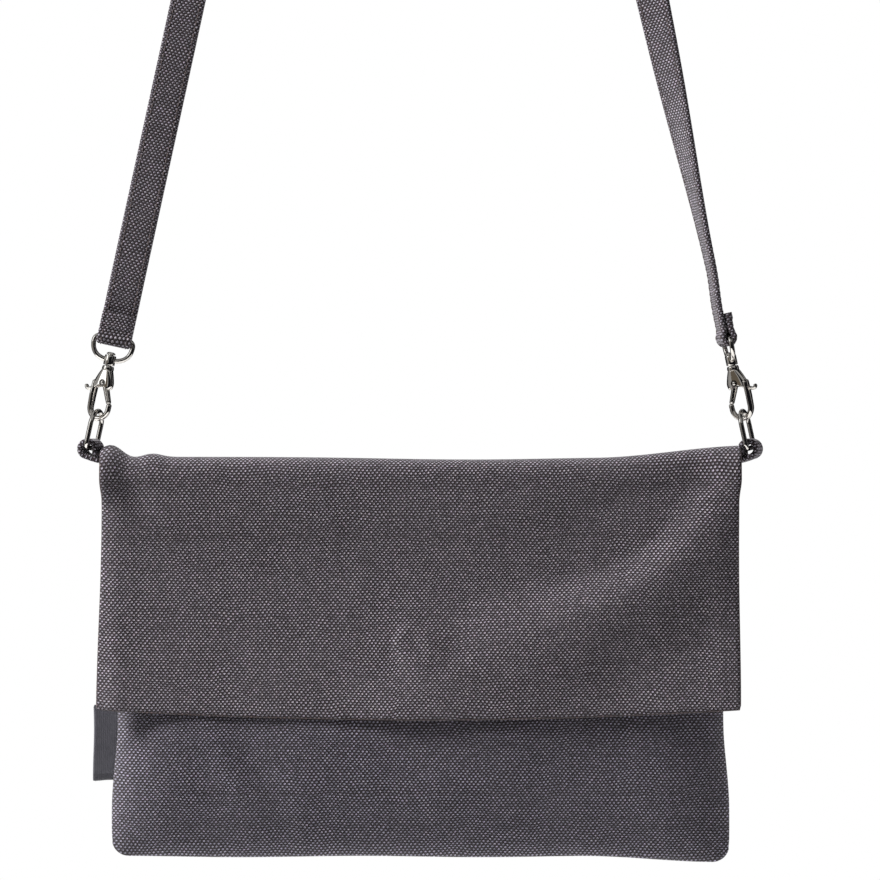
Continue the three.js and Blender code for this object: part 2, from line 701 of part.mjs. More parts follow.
function addHook(side, line) {
  const head = bevelled(headOutline(), HOOK_THICKNESS, HOOK_BEVEL, ARC_STEPS);
  const post = POST_DIAMETER / 2;
  const neckZ = HOOK_LENGTH - COLLAR_HEIGHT;
  const headFoot = HOOK_LENGTH + BOSS_HEIGHT + 2 * CLEARANCE;
  const stem = turned(
    [
      [0, neckZ - HOOK_BEVEL],
      [COLLAR_DIAMETER / 2, neckZ - HOOK_BEVEL],
      [COLLAR_DIAMETER / 2, HOOK_LENGTH],
      [post, HOOK_LENGTH],
      [post, headFoot],
      [POST_HEAD_DIAMETER / 2, headFoot],
      [POST_HEAD_DIAMETER / 2, headFoot + POST_HEAD_HEIGHT / 2],
      [post, headFoot + POST_HEAD_HEIGHT],
      [0, headFoot + POST_HEAD_HEIGHT],
    ],
    TURNED_SIDES,
  );
  const reach = 2 * SHOULDER_HALF_WIDTH;
  const armIn = -BOW_HALF_WIDTH + HOOK_WIRE / 2;
  const slot = new THREE.Shape();
  slot.moveTo(-reach, SLOT_SILL);
  slot.lineTo(armIn + CLEARANCE, SLOT_SILL);
  slot.lineTo(armIn + CLEARANCE, BOW_MIDDLE);
  slot.lineTo(reach, BOW_MIDDLE + HOOK_WIRE);
  slot.lineTo(reach, SLOT_TOP);
  slot.lineTo(-reach, SLOT_TOP);
  const hole = turnedAcross(
    [
      [0, -HOOK_THICKNESS],
      [PIN_DIAMETER / 2 + PIN_FIT, -HOOK_THICKNESS],
      [PIN_DIAMETER / 2 + PIN_FIT, HOOK_THICKNESS],
      [0, HOOK_THICKNESS],
    ],
    TURNED_SIDES,
    0,
    PIVOT_HEIGHT,
  );
  const slotted = cut(head, plate(slot, -SLOT_WIDTH / 2, SLOT_WIDTH / 2), hole);
  const hook = joined(slotted, hookBow(), stem).translate(0, 0, bowRise);
  hook.rotateZ(hookTurn(side));
  addPiece(line, `${side.name}_hook`, hook, nickel);
}

// The gate is a bell crank: one arm closes the hook, the other is pushed by the thumb.
function gateOutline() {
  const [outer, inner] = GATE_END.map(radians);
  const [upperStart, upperEnd] = HUB_UPPER;
  const [lowerStart, lowerEnd] = HUB_LOWER;
  const [tipStart, tipEnd] = THUMB_TIP;
  const onHub = (degrees) => [
    HUB_RADIUS * Math.cos(radians(degrees)),
    PIVOT_HEIGHT + HUB_RADIUS * Math.sin(radians(degrees)),
  ];
  const tipX = -THUMB_REACH + THUMB_TIP_RADIUS;
  const tipZ = PIVOT_HEIGHT - THUMB_FALL;
  const shape = new THREE.Shape();
  shape.moveTo(...onHub(upperStart));
  shape.absarc(0, PIVOT_HEIGHT, HUB_RADIUS, radians(upperStart), radians(upperEnd), true);
  shape.lineTo(GATE_REACH * Math.cos(outer), PIVOT_HEIGHT + GATE_REACH * Math.sin(outer));
  shape.absarc(0, PIVOT_HEIGHT, GATE_REACH, outer, inner, true);
  shape.lineTo(...onHub(lowerStart));
  shape.absarc(0, PIVOT_HEIGHT, HUB_RADIUS, radians(lowerStart), radians(lowerEnd), true);
  shape.absarc(tipX, tipZ, THUMB_TIP_RADIUS, radians(tipStart), radians(tipEnd), true);
  const bore = new THREE.Path();
  bore.absarc(0, PIVOT_HEIGHT, PIN_DIAMETER / 2 + PIN_FIT, 0, 2 * Math.PI);
  shape.holes.push(bore);
  return shape;
}

function addGate(side, line) {
  const gate = plate(gateOutline(), -GATE_THICKNESS / 2, GATE_THICKNESS / 2, ARC_STEPS);
  gate.translate(0, 0, bowRise).rotateZ(hookTurn(side));
  addPiece(line, `${side.name}_gate`, gate, nickel);
  const pin = turnedAcross(
    [
      [0, -HOOK_THICKNESS / 2],
      [PIN_DIAMETER / 2, -HOOK_THICKNESS / 2],
      [PIN_DIAMETER / 2, HOOK_THICKNESS / 2],
      [0, HOOK_THICKNESS / 2],
    ],
    TURNED_SIDES,
    0,
    PIVOT_HEIGHT,
  );
  pin.translate(0, 0, bowRise).rotateZ(hookTurn(side));
  addPiece(line, `${side.name}_gate_pin`, pin, nickel);
}

// A small compression spring between the thumb lever and the top of the slot.
class SpringLine extends THREE.Curve {
  constructor(radius, foot, top, curls) {
    super();
    Object.assign(this, { radius, foot, top, curls });
  }

  getPoint(share, target = new THREE.Vector3()) {
    const turn = 2 * Math.PI * this.curls * share;
    const height = this.foot + (this.top - this.foot) * share;
    return target.set(this.radius * Math.cos(turn), this.radius * Math.sin(turn), height);
  }
}

function addGateSpring(side, line) {
  const leverSlope = THUMB_FALL / THUMB_REACH;
  const leverTop = PIVOT_HEIGHT + HUB_RADIUS - SPRING_OFFSET * leverSlope;
  const foot = leverTop + CLEARANCE;
  const top = SLOT_TOP - CLEARANCE - SPRING_WIRE / 2;
  const coil = new SpringLine((SPRING_DIAMETER - SPRING_WIRE) / 2, foot, top, SPRING_CURLS);
  const section = new THREE.Shape();
  const corners = Array.from({ length: SPRING_SIDES }, (_, k) => {
    const turn = (2 * Math.PI * k) / SPRING_SIDES;
    return new THREE.Vector2(Math.cos(turn), Math.sin(turn)).multiplyScalar(SPRING_WIRE / 2);
  });
  section.setFromPoints(corners);
  const steps = SPRING_STEPS * SPRING_CURLS;
  const wire = new THREE.ExtrudeGeometry(section, { extrudePath: coil, steps, bevelEnabled: false });
  wire.translate(-SPRING_OFFSET, 0, bowRise).rotateZ(hookTurn(side));
  addPiece(line, `${side.name}_gate_spring`, wire, spring);
  return (top - foot) / SPRING_CURLS - SPRING_WIRE;
}

// Strap: it runs from the left eye up its leg, over the peg and down to the right eye.
// Its face looks forward where it hangs free, and outward over the peg and at the right eye.

function strapLine(along) {
  const legTopX = crownRadius * Math.cos(lean);
  const legTopZ = crownZ + crownRadius * Math.sin(lean);
  if (along < leg || along > STRAP_LENGTH - leg) {
    const sign = along < leg ? -1 : 1;
    const below = leg - (sign < 0 ? along : STRAP_LENGTH - along);
    const outward = new THREE.Vector3(sign * Math.cos(lean), 0, Math.sin(lean));
    const tangent = new THREE.Vector3(Math.sin(lean), 0, -sign * Math.cos(lean));
    const point = new THREE.Vector3(sign * legTopX, 0, legTopZ);
    return { point: point.addScaledVector(tangent, sign * below), tangent, outward };
  }
  const turn = (along - STRAP_LENGTH / 2) / crownRadius;
  const outward = new THREE.Vector3(Math.sin(turn), 0, Math.cos(turn));
  const tangent = new THREE.Vector3(Math.cos(turn), 0, -Math.sin(turn));
  const point = new THREE.Vector3(0, 0, crownZ).addScaledVector(outward, crownRadius);
  return { point, tangent, outward };
}

function strapTwist(along) {
  const quarter = Math.PI / 2;
  const ease = THREE.MathUtils.smoothstep;
  if (along < STRAP_LENGTH / 2) {
    return quarter * ease(along, ...TWIST_BELOW_PEG);
  }
  const fromEye = STRAP_LENGTH - along;
  const aboveEye = ease(fromEye, ...TWIST_ABOVE_RIGHT_EYE);
  return quarter * (1 + aboveEye - ease(fromEye, ...TWIST_BELOW_PEG));
}

function strapFrame(along) {
  const { point, tangent, outward } = strapLine(along);
  const twist = strapTwist(along);
  const face = new THREE.Vector3(0, -Math.cos(twist), 0).addScaledVector(outward, Math.sin(twist));
  return { point, tangent, face };
}

// The turned-back end in its own plane: x is along the strap away from the eye, y towards its face.
function endPath() {
  const apart = STRAP_THICKNESS / 2 + CLEARANCE / 2;
  const round = EYE_WIRE / 2 + CLEARANCE + STRAP_THICKNESS / 2;
  const closed = LOOP_CLOSE * round;
  const points = [
    new THREE.Vector2(HEM_LENGTH, apart),
    new THREE.Vector2((HEM_LENGTH + closed) / 2, apart),
    new THREE.Vector2(closed, apart),
  ];
  const wrap = radians(LOOP_WRAP);
  for (let i = 0; i <= CROWN_STEPS; i++) {
    const turn = Math.PI / 2 - wrap / 2 + ((Math.PI + wrap) * i) / CROWN_STEPS;
    points.push(new THREE.Vector2(round * Math.cos(turn), round * Math.sin(turn)));
  }
  points.push(new THREE.Vector2(closed, -apart));
  points.push(new THREE.Vector2(HEM_LENGTH, -apart));
  points.push(new THREE.Vector2(2 * HEM_LENGTH, -apart / 2));
  return points;
}

function strapSection(point, across, face) {
  const [w, t] = [STRAP_WIDTH / 2, STRAP_THICKNESS / 2];
  const corners = [
    [w - STRAP_EDGE, t],
    [w, t - STRAP_EDGE],
    [w, STRAP_EDGE - t],
    [w - STRAP_EDGE, -t],
  ];
  const whole = [...corners, ...corners.map(([a, b]) => [-a, -b])];
  return whole.map(([a, b]) => point.clone().addScaledVector(across, a).addScaledVector(face, b));
}

function endSections(right) {
  const path = endPath();
  const eye = strapFrame(right ? STRAP_LENGTH : 0);
  const away = eye.tangent.clone().multiplyScalar(right ? -1 : 1);
  const across = new THREE.Vector3().crossVectors(eye.tangent, eye.face);
  const sections = path.map((spot, i) => {
    const before = path[Math.max(i - 1, 0)];
    const after = path[Math.min(i + 1, path.length - 1)];
    const run = after.clone().sub(before).normalize();
    const place = eye.point.clone().addScaledVector(away, spot.x).addScaledVector(eye.face, spot.y);
    const face = eye.face.clone().multiplyScalar(run.x).addScaledVector(away, -run.y);
    return strapSection(place, across, face);
  });
  return right ? sections.reverse() : sections;
}

function addStrap() {
  const stations = [];
  const clear = 3 * HEM_LENGTH;
  for (let i = 0; i < LEG_STEPS; i++) {
    stations.push(clear + ((leg - clear) * i) / LEG_STEPS);
  }
  for (let i = 0; i <= CROWN_STEPS; i++) {
    stations.push(leg + ((STRAP_LENGTH - 2 * leg) * i) / CROWN_STEPS);
  }
  for (let i = LEG_STEPS - 1; i >= 0; i--) {
    stations.push(STRAP_LENGTH - clear - ((leg - clear) * i) / LEG_STEPS);
  }
  const run = stations.map((along) => {
    const { point, tangent, face } = strapFrame(along);
    return strapSection(point, new THREE.Vector3().crossVectors(tangent, face), face);
  });
  const sections = [...endSections(false), ...run, ...endSections(true)];
  addPiece(model, 'strap', lofted(sections, false), canvas);
}

addPouch();
addFlap();
addSnap();
addLabel();
addStrap();
for (const side of SIDES) {
  addTab(side);
  const line = hangLine(side);
  addRing(side, line);
  addEye(side, line);
  addHook(side, line);
  addGate(side, line);
  const gap = addGateSpring(side, line);
  console.log(`${side.name} gate spring: least gap between its curls ${gap.toFixed(2)} mm`);
}

export default model;
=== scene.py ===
import json
import math

import bpy
import numpy as np
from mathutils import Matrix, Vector


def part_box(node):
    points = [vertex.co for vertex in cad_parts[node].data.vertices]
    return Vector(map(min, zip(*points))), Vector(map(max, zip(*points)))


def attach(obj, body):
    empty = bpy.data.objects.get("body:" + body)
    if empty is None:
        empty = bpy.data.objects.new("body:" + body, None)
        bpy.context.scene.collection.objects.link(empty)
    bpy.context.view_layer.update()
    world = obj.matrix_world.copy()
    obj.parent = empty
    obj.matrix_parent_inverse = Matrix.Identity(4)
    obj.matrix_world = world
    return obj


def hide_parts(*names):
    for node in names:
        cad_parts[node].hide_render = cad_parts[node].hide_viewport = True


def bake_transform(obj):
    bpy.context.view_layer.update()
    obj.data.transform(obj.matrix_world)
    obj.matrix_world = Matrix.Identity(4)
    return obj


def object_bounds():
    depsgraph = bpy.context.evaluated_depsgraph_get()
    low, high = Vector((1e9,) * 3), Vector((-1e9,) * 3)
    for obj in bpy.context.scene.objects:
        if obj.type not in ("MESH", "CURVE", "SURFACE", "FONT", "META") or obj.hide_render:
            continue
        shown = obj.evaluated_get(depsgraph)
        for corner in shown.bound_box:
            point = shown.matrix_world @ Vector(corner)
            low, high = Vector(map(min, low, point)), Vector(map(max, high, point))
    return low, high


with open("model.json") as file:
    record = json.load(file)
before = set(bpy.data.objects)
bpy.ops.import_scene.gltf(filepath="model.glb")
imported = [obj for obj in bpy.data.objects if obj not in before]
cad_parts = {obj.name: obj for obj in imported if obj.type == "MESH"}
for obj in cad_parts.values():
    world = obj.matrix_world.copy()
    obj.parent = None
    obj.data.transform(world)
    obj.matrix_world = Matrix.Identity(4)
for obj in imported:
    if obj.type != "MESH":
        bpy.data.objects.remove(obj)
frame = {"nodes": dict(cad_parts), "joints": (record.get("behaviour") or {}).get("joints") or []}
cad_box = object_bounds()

# Canvas length
# One length of heathered canvas makes the back, turns over at the top and hangs in front as the flap.
# It is a coarse plain weave of dark warp and pale weft. Its edges are turned in and sewn to the lining,
# and the tabs at the fold's ends draw its upper corners up.

MM = 0.001
joint_places = {joint["name"]: Vector(joint["pos_m"]) for joint in frame["joints"]}
joint_axes = {joint["name"]: Vector(joint["axis"]) for joint in frame["joints"]}
fold_z = joint_places["flap_fold"].z
back_low, back_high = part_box("back_panel")
flap_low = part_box("flap_canvas")[0]
fold_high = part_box("flap_fold")[1]
canvas_thick = back_high.y - back_low.y
fold_radius = fold_high.y - canvas_thick / 2
pouch_half = back_high.x
flap_half = fold_high.x
pouch_foot = back_low.z - fold_z
flap_foot = flap_low.z - fold_z

WARP_PITCH = 0.945 * MM
WEFT_PITCH = 1.15 * MM
POUCH_CORNER = 7 * MM
FLAP_BOW = 4.5 * MM
SNAP_PLACE = (-3 * MM, -74 * MM)
LEFT_KNUCKLE = (-142 * MM, 3 * MM)
LEFT_HOLLOW = (-130 * MM, -7 * MM)
LINE_POINTS = 90
LINE_SMOOTHING = 120

# Rises and dips of the fold's top in mm: where along it, how high and how wide each is.
FOLD_BUMPS = [(-140, 5.4, 6.5), (-130, -0.5, 5), (-121, 1.5, 5.5), (22, -1.2, 55)]
FOLD_RIGHT_RISE = 5.2

# Lines on the flap, in mm from the fold's middle: the long fold, and a crease, both from the right tab.
FLAP_STEP = [(138, 8), (112, -36), (80, -50), (16, -67), (-44, -112)]
FLAP_CREASE = [(136, 0), (96, -9), (40, -26)]


def gauss(distance, width):
    return np.exp(-((distance / width) ** 2))


def ease(value, start, end):
    share = np.clip((value - start) / (end - start), 0, 1)
    return share * share * (3 - 2 * share)


# The length along a line of points, at each of them.
def length_along(points):
    steps = np.linalg.norm(np.diff(points, axis=0), axis=-1)
    return np.concatenate([np.zeros_like(steps[:1]), np.cumsum(steps, axis=0)])


# What goes with a line's points, such as their places, at other lengths along it.
def values_at(stations, along, values):
    return np.stack([np.interp(stations, along, column) for column in values.T], 1)


# The distance of each place from a smoothed line through corners in mm, positive on its lower right, and the
# share of the line there.
def from_bent_line(x, z, corners):
    corners = np.array(corners) * MM
    reach = length_along(corners)
    share = np.linspace(0, 1, LINE_POINTS)
    line = values_at(share * reach[-1], reach, corners)
    for _ in range(LINE_SMOOTHING):
        line[1:-1] = (line[:-2] + 2 * line[1:-1] + line[2:]) / 4
    away_x = x[..., None] - line[:, 0]
    away_z = z[..., None] - line[:, 1]
    nearest = np.argmin(np.hypot(away_x, away_z), axis=-1)
    run_x = np.gradient(line[:, 0])[nearest]
    run_z = np.gradient(line[:, 1])[nearest]
    near_x = np.take_along_axis(away_x, nearest[..., None], -1)[..., 0]
    near_z = np.take_along_axis(away_z, nearest[..., None], -1)[..., 0]
    side = np.sign(run_x * near_z - run_z * near_x)
    return side * np.hypot(near_x, near_z), share[nearest]


# A few long waves, the same at each run.
def slow_waves(x, z, length):
    first = np.sin(x / length * 1.7 + 0.6 * np.sin(z / length * 1.3)) * np.cos(z / length * 1.1 + 0.4)
    second = np.sin((x + z) / length * 2.9 + 1.9) * np.sin((z - 0.6 * x) / length * 2.3)
    return 0.6 * first + 0.4 * second


# How high the fold's top stands over its straight line: the tabs pull both ends up, the left one in a gather.
def fold_rise(x):
    rise = FOLD_RIGHT_RISE * ease(x, 80 * MM, 150 * MM)
    for place, height, width in FOLD_BUMPS:
        rise = rise + height * gauss(x - place * MM, width * MM)
    return rise * MM


# How far the flap stands forward of its flat place, worked out in mm until the last lines.
def flap_form(x, z, dome):
    # It hollows below the fold and stands out again towards its foot, most on the right.
    form = -2.4 * ease(-z, 4 * MM, 45 * MM) + 1.8 * ease(-z, 52 * MM, 108 * MM)
    form += 1.6 * ease(x, 60 * MM, 130 * MM) * ease(-z, 60 * MM, 108 * MM)

    # The long fold is a step forward with a slow fall below it.
    to_step, along = from_bent_line(x, z, FLAP_STEP)
    height = (3.8 + 2.0 * ease(along, 0.05, 0.3)) * (1 - 0.2 * ease(along, 0.4, 0.7))
    height = height * (1 - ease(along, 0.8, 1))
    half = (9 + 9 * ease(along, 0.25, 0.8)) * MM
    form += height * ease(to_step, -half, half)
    fall = 0.3 + 0.65 * ease(x, 35 * MM, 95 * MM)
    form -= fall * height * ease(to_step, half, half + 36 * MM)

    # The left tab gathers its corner into a knuckle, with a slanted hollow beside it.
    form += 2.6 * gauss(np.hypot(x - LEFT_KNUCKLE[0], z - LEFT_KNUCKLE[1]), 9 * MM)
    right = x - LEFT_HOLLOW[0]
    up = z - LEFT_HOLLOW[1]
    down_right = (right - up) / math.sqrt(2)
    up_right = (right + up) / math.sqrt(2)
    form -= 2.0 * gauss(down_right, 13 * MM) * gauss(up_right, 6.5 * MM)

    # The crease is sharp above and soft below.
    to_crease, along = from_bent_line(x, z, FLAP_CREASE)
    width = np.where(to_crease < 0, 8 * MM, 18 * MM)
    form -= 1.5 * gauss(to_crease, width) * (1 - ease(along, 0.4, 1))

    # The right hem is thick, the whole cloth a little uneven, and both side edges turn back.
    form += 0.3 * gauss(x - 134.5 * MM, 3 * MM) * ease(-z, 18 * MM, 40 * MM)
    form += 0.3 * slow_waves(x, z, 24 * MM) * ease(-z, 0, 20 * MM)
    form += 0.08 * slow_waves(x + 9 * MM, z, 7 * MM) * ease(-z, 0, 12 * MM)
    left_edge = np.clip(1 - (x + flap_half) / (9 * MM), 0, 1)
    right_edge = np.clip(1 - (flap_half - x) / (6 * MM), 0, 1)
    form -= 2.7 * left_edge**2 * ease(-z, 4 * MM, 16 * MM) + 0.15 * right_edge**2

    # The snap holds the cloth near its flat place, and its stud domes it. The dome's slope is longest to
    # the lower right.
    from_snap = np.hypot(x - SNAP_PLACE[0], z - SNAP_PLACE[1])
    near = ease(-from_snap, -24 * MM, -9 * MM)
    past_snap = (x - SNAP_PLACE[0] - z + SNAP_PLACE[1]) / math.sqrt(2)
    held = 0.13 * np.clip(past_snap / MM, -3, 12) - 0.3 if dome else 0
    form = (held * near + form * (1 - near)) * MM
    far_side = np.clip(past_snap / np.maximum(from_snap, MM), 0, 1)
    dome_edge = (10 + 14 * far_side) * MM
    return form + dome * (1 - ease(from_snap, 6.5 * MM, dome_edge) - 0.15 * gauss(from_snap, 2.6 * MM))


# The pouch's outline: its side edges swell out a little below, and its lower right corner sags.
def pouch_side(z):
    return pouch_half + (1.8 * ease(-z, 112 * MM, 150 * MM) - 1.0 * gauss(z + 104 * MM, 26 * MM)) * MM


def pouch_bottom(x):
    in_corner = np.clip(np.abs(x) - (pouch_half - POUCH_CORNER), 0, POUCH_CORNER)
    round_up = POUCH_CORNER - np.sqrt(POUCH_CORNER**2 - in_corner**2)
    sag = 1.5 + 2.2 * ease(x, 70 * MM, 132 * MM) + 0.3 * np.sin(x / (17 * MM))
    return pouch_foot + round_up - sag * MM


def unit(vectors):
    return vectors / np.maximum(np.linalg.norm(vectors, axis=-1, keepdims=True), 1e-12)


# A closed cloth round a grid of middle points. Its place on the flat cloth is its UV, in metres, and its
# rounded rim has the second material.
def make_cloth(name, middle, place, thick, materials):
    normal = unit(np.cross(np.gradient(middle, axis=1), np.gradient(middle, axis=0)))
    outer = middle + normal * thick / 2
    inner = middle - normal * thick / 2
    rows, columns = middle.shape[:2]
    number = np.arange(rows * columns).reshape(rows, columns)
    edge = np.concatenate([number[0, :-1], number[:-1, -1], number[-1, :0:-1], number[:0:-1, 0]])
    inside = np.concatenate([number[1, :-1], number[:-1, -2], number[-2, :0:-1], number[:0:-1, 1]])
    flat = middle.reshape(-1, 3)
    rim = flat[edge] + unit(flat[edge] - flat[inside]) * thick * 0.45
    points = np.concatenate([outer.reshape(-1, 3), inner.reshape(-1, 3), rim])
    spots = place.reshape(-1, 2)
    rim_spots = spots[edge] + unit(spots[edge] - spots[inside]) * thick / 2
    spots = np.concatenate([spots, spots, rim_spots])
    quads = [number[:-1, :-1], number[1:, :-1], number[1:, 1:], number[:-1, 1:]]
    top = np.stack(quads, -1).reshape(-1, 4)
    bottom = top[:, ::-1] + rows * columns
    ring = np.arange(len(edge)) + 2 * rows * columns
    after = np.roll(np.arange(len(edge)), -1)
    front = np.stack([edge, edge[after], ring[after], ring], -1)
    back_edge = edge + rows * columns
    back = np.stack([ring, ring[after], back_edge[after], back_edge], -1)
    faces = np.concatenate([top, bottom, front, back])
    return make_mesh(name, points, faces, spots, materials, first_rim=len(top) + len(bottom))


def add_object(name, data):
    thing = bpy.data.objects.new(name, data)
    bpy.context.scene.collection.objects.link(thing)
    return thing


def smooth_faces(mesh):
    mesh.polygons.foreach_set("use_smooth", np.ones(len(mesh.polygons), bool))


def make_mesh(name, points, faces, spots, materials, first_rim=None):
    mesh = bpy.data.meshes.new(name)
    mesh.from_pydata(points.tolist(), [], faces.tolist())
    for material in materials:
        mesh.materials.append(material)
    layer = mesh.uv_layers.new(name="cloth")
    corners = np.zeros(len(mesh.loops), np.int32)
    mesh.loops.foreach_get("vertex_index", corners)
    layer.data.foreach_set("uv", spots[corners].astype(np.float32).ravel())
    smooth_faces(mesh)
    if first_rim is not None and len(materials) > 1:
        kinds = np.zeros(len(mesh.polygons), np.int32)
        kinds[first_rim:] = 1
        mesh.polygons.foreach_set("material_index", kinds)
    mesh.validate()
    return add_object(name, mesh)


def feed(tree, socket, value):
    if isinstance(value, bpy.types.NodeSocket):
        tree.links.new(value, socket)
    else:
        socket.default_value = value


def calculate(tree, operation, *values):
    node = tree.nodes.new("ShaderNodeMath")
    node.operation = operation
    for socket, value in zip(node.inputs, values):
        feed(tree, socket, value)
    return node.outputs[0]


def mix_colours(tree, share, first, second, way="MIX"):
    node = tree.nodes.new("ShaderNodeMix")
    node.data_type = "RGBA"
    node.blend_type = way
    feed(tree, node.inputs["Factor"], share)
    feed(tree, node.inputs["A"], first)
    feed(tree, node.inputs["B"], second)
    return node.outputs["Result"]


def noise(tree, place, scale, detail=2.0, roughness=0.5):
    node = tree.nodes.new("ShaderNodeTexNoise")
    feed(tree, node.inputs["Vector"], place)
    node.inputs["Scale"].default_value = scale
    node.inputs["Detail"].default_value = detail
    node.inputs["Roughness"].default_value = roughness
    return node.outputs


def split_xyz(tree, vector):
    node = tree.nodes.new("ShaderNodeSeparateXYZ")
    tree.links.new(vector, node.inputs[0])
    return node.outputs


def new_group(name, inputs, outputs):
    tree = bpy.data.node_groups.new(name, "ShaderNodeTree")
    for label, kind in inputs:
        tree.interface.new_socket(label, in_out="INPUT", socket_type=kind)
    for label, kind in outputs:
        tree.interface.new_socket(label, in_out="OUTPUT", socket_type=kind)
    return tree, tree.nodes.new("NodeGroupInput").outputs, tree.nodes.new("NodeGroupOutput").inputs


def place_group(tree, group, values):
    node = tree.nodes.new("ShaderNodeGroup")
    node.node_tree = group
    for name, value in values.items():
        feed(tree, node.inputs[name], value)
    return node.outputs


# In yarns: how far they wander, how far a weft dot reaches along and across its yarn, and how it slants.
WARP_WANDER = 2.2
WEFT_WANDER = 2.6
DOT_REACH = 0.66
DOT_WIDTH = 0.40
DOT_SLANT = 0.1

# How much the shade differs from dot to dot, from yarn to yarn and in clouds over the cloth.
DOT_SHADE = 0.62
YARN_SHADE = 0.26
CLOUD_SHADE = 0.5


# Plain weave: each weft yarn passes over every second warp yarn, and shows there as a slanted pale dot. The
# yarns wander a little, the cloth is faded in patches, and the low gaps between yarns get painted shade.
def make_plain_weave():
    colours = ("Warp Colour", "Weft Colour", "Gap Shade Colour", "Faded Colour")
    tree, given, made = new_group(
        "plain_weave",
        [("Place", "NodeSocketVector")] + [(name, "NodeSocketColor") for name in colours],
        [("Colour", "NodeSocketColor"), ("Height", "NodeSocketFloat"), ("Roughness", "NodeSocketFloat")],
    )
    wander = tree.nodes.new("ShaderNodeSeparateColor")
    tree.links.new(noise(tree, given["Place"], 55)["Color"], wander.inputs[0])
    split = split_xyz(tree, given["Place"])
    counted = []
    for axis, pitch, sway in ((0, WARP_PITCH, WARP_WANDER), (1, WEFT_PITCH, WEFT_WANDER)):
        off = calculate(tree, "SUBTRACT", wander.outputs[axis], 0.5)
        across = calculate(tree, "MULTIPLY_ADD", off, sway, calculate(tree, "DIVIDE", split[axis], pitch))
        number = calculate(tree, "FLOOR", across)
        counted += [number, calculate(tree, "SUBTRACT", calculate(tree, "SUBTRACT", across, number), 0.5)]
    warp_number, in_u, weft_number, in_v = counted
    numbers = calculate(tree, "ADD", warp_number, weft_number)
    weft_over = calculate(tree, "FLOORED_MODULO", numbers, 2.0)

    def square(value):
        return calculate(tree, "MULTIPLY", value, value)

    beside = calculate(tree, "SUBTRACT", 1.0, calculate(tree, "ABSOLUTE", in_u))
    from_dot = calculate(tree, "SUBTRACT", calculate(tree, "ABSOLUTE", in_u), beside)
    from_dot = calculate(tree, "MULTIPLY_ADD", from_dot, weft_over, beside)
    slanted = calculate(tree, "SUBTRACT", in_v, calculate(tree, "MULTIPLY", in_u, DOT_SLANT))
    long_part = square(calculate(tree, "DIVIDE", from_dot, DOT_REACH))
    round_part = square(calculate(tree, "DIVIDE", slanted, DOT_WIDTH))
    bulge = calculate(tree, "SUBTRACT", 1.0, calculate(tree, "ADD", long_part, round_part))
    weft_height = calculate(tree, "MAXIMUM", bulge, 0.0)
    rib = calculate(tree, "SUBTRACT", 1.0, square(calculate(tree, "MULTIPLY", in_u, 2.0)))
    arch = calculate(tree, "COSINE", calculate(tree, "MULTIPLY", in_v, math.pi))
    warp_top = calculate(tree, "MULTIPLY_ADD", arch, 0.5, 0.3)
    warp_turn = calculate(tree, "MULTIPLY_ADD", weft_over, -0.62, 1.0)
    warp_height = calculate(tree, "MULTIPLY", calculate(tree, "MULTIPLY", rib, warp_top), warp_turn)
    height = calculate(tree, "MAXIMUM", weft_height, warp_height)
    weft_shows = calculate(tree, "GREATER_THAN", weft_height, warp_height)
    crossing = tree.nodes.new("ShaderNodeCombineXYZ")
    tree.links.new(warp_number, crossing.inputs[0])
    tree.links.new(weft_number, crossing.inputs[1])
    dot = tree.nodes.new("ShaderNodeTexWhiteNoise")
    dot.noise_dimensions = "2D"
    tree.links.new(crossing.outputs[0], dot.inputs["Vector"])
    yarn = tree.nodes.new("ShaderNodeTexWhiteNoise")
    yarn.noise_dimensions = "1D"
    to_weft = calculate(tree, "SUBTRACT", weft_number, warp_number)
    tree.links.new(calculate(tree, "MULTIPLY_ADD", to_weft, weft_shows, warp_number), yarn.inputs["W"])
    cloud = noise(tree, given["Place"], 130, 3.0, 0.6)
    shades = (dot.outputs["Value"], yarn.outputs["Value"], cloud["Fac"])
    bright = 1.0
    for shade, spread in zip(shades, (DOT_SHADE, YARN_SHADE, CLOUD_SHADE)):
        bright = calculate(tree, "MULTIPLY_ADD", calculate(tree, "SUBTRACT", shade, 0.5), spread, bright)
    yarns = mix_colours(tree, weft_shows, given["Warp Colour"], given["Weft Colour"])
    tint = calculate(tree, "MULTIPLY", dot.outputs["Value"], 0.05)
    tinted = mix_colours(tree, tint, yarns, dot.outputs["Color"], "OVERLAY")
    lit = tree.nodes.new("ShaderNodeVectorMath")
    lit.operation = "SCALE"
    tree.links.new(tinted, lit.inputs[0])
    tree.links.new(bright, lit.inputs["Scale"])
    # Low places fade to the gap colour: painted shade between the yarns.
    unshaded_part = calculate(tree, "POWER", calculate(tree, "MAXIMUM", height, 0.0), 0.75)
    colour = mix_colours(tree, unshaded_part, given["Gap Shade Colour"], lit.outputs[0])
    worn = noise(tree, given["Place"], 18, 3.0, 0.6)
    fade = calculate(tree, "MULTIPLY_ADD", worn["Fac"], 0.36, -0.12)
    tree.links.new(mix_colours(tree, fade, colour, given["Faded Colour"]), made["Colour"])
    tree.links.new(height, made["Height"])
    tree.links.new(calculate(tree, "MULTIPLY_ADD", dot.outputs["Value"], 0.12, 0.82), made["Roughness"])
    return tree


plain_weave = make_plain_weave()


def srgb(red, green, blue):
    def linear(value):
        share = value / 255
        return share / 12.92 if share <= 0.04045 else ((share + 0.055) / 1.055) ** 2.4

    return (linear(red), linear(green), linear(blue), 1.0)


def new_material(name):
    material = bpy.data.materials.new(name)
    material.use_nodes = True
    tree = material.node_tree
    return material, tree, tree.nodes["Principled BSDF"].inputs


def cloth_place(tree):
    place = tree.nodes.new("ShaderNodeUVMap")
    place.uv_map = "cloth"
    return place.outputs[0]


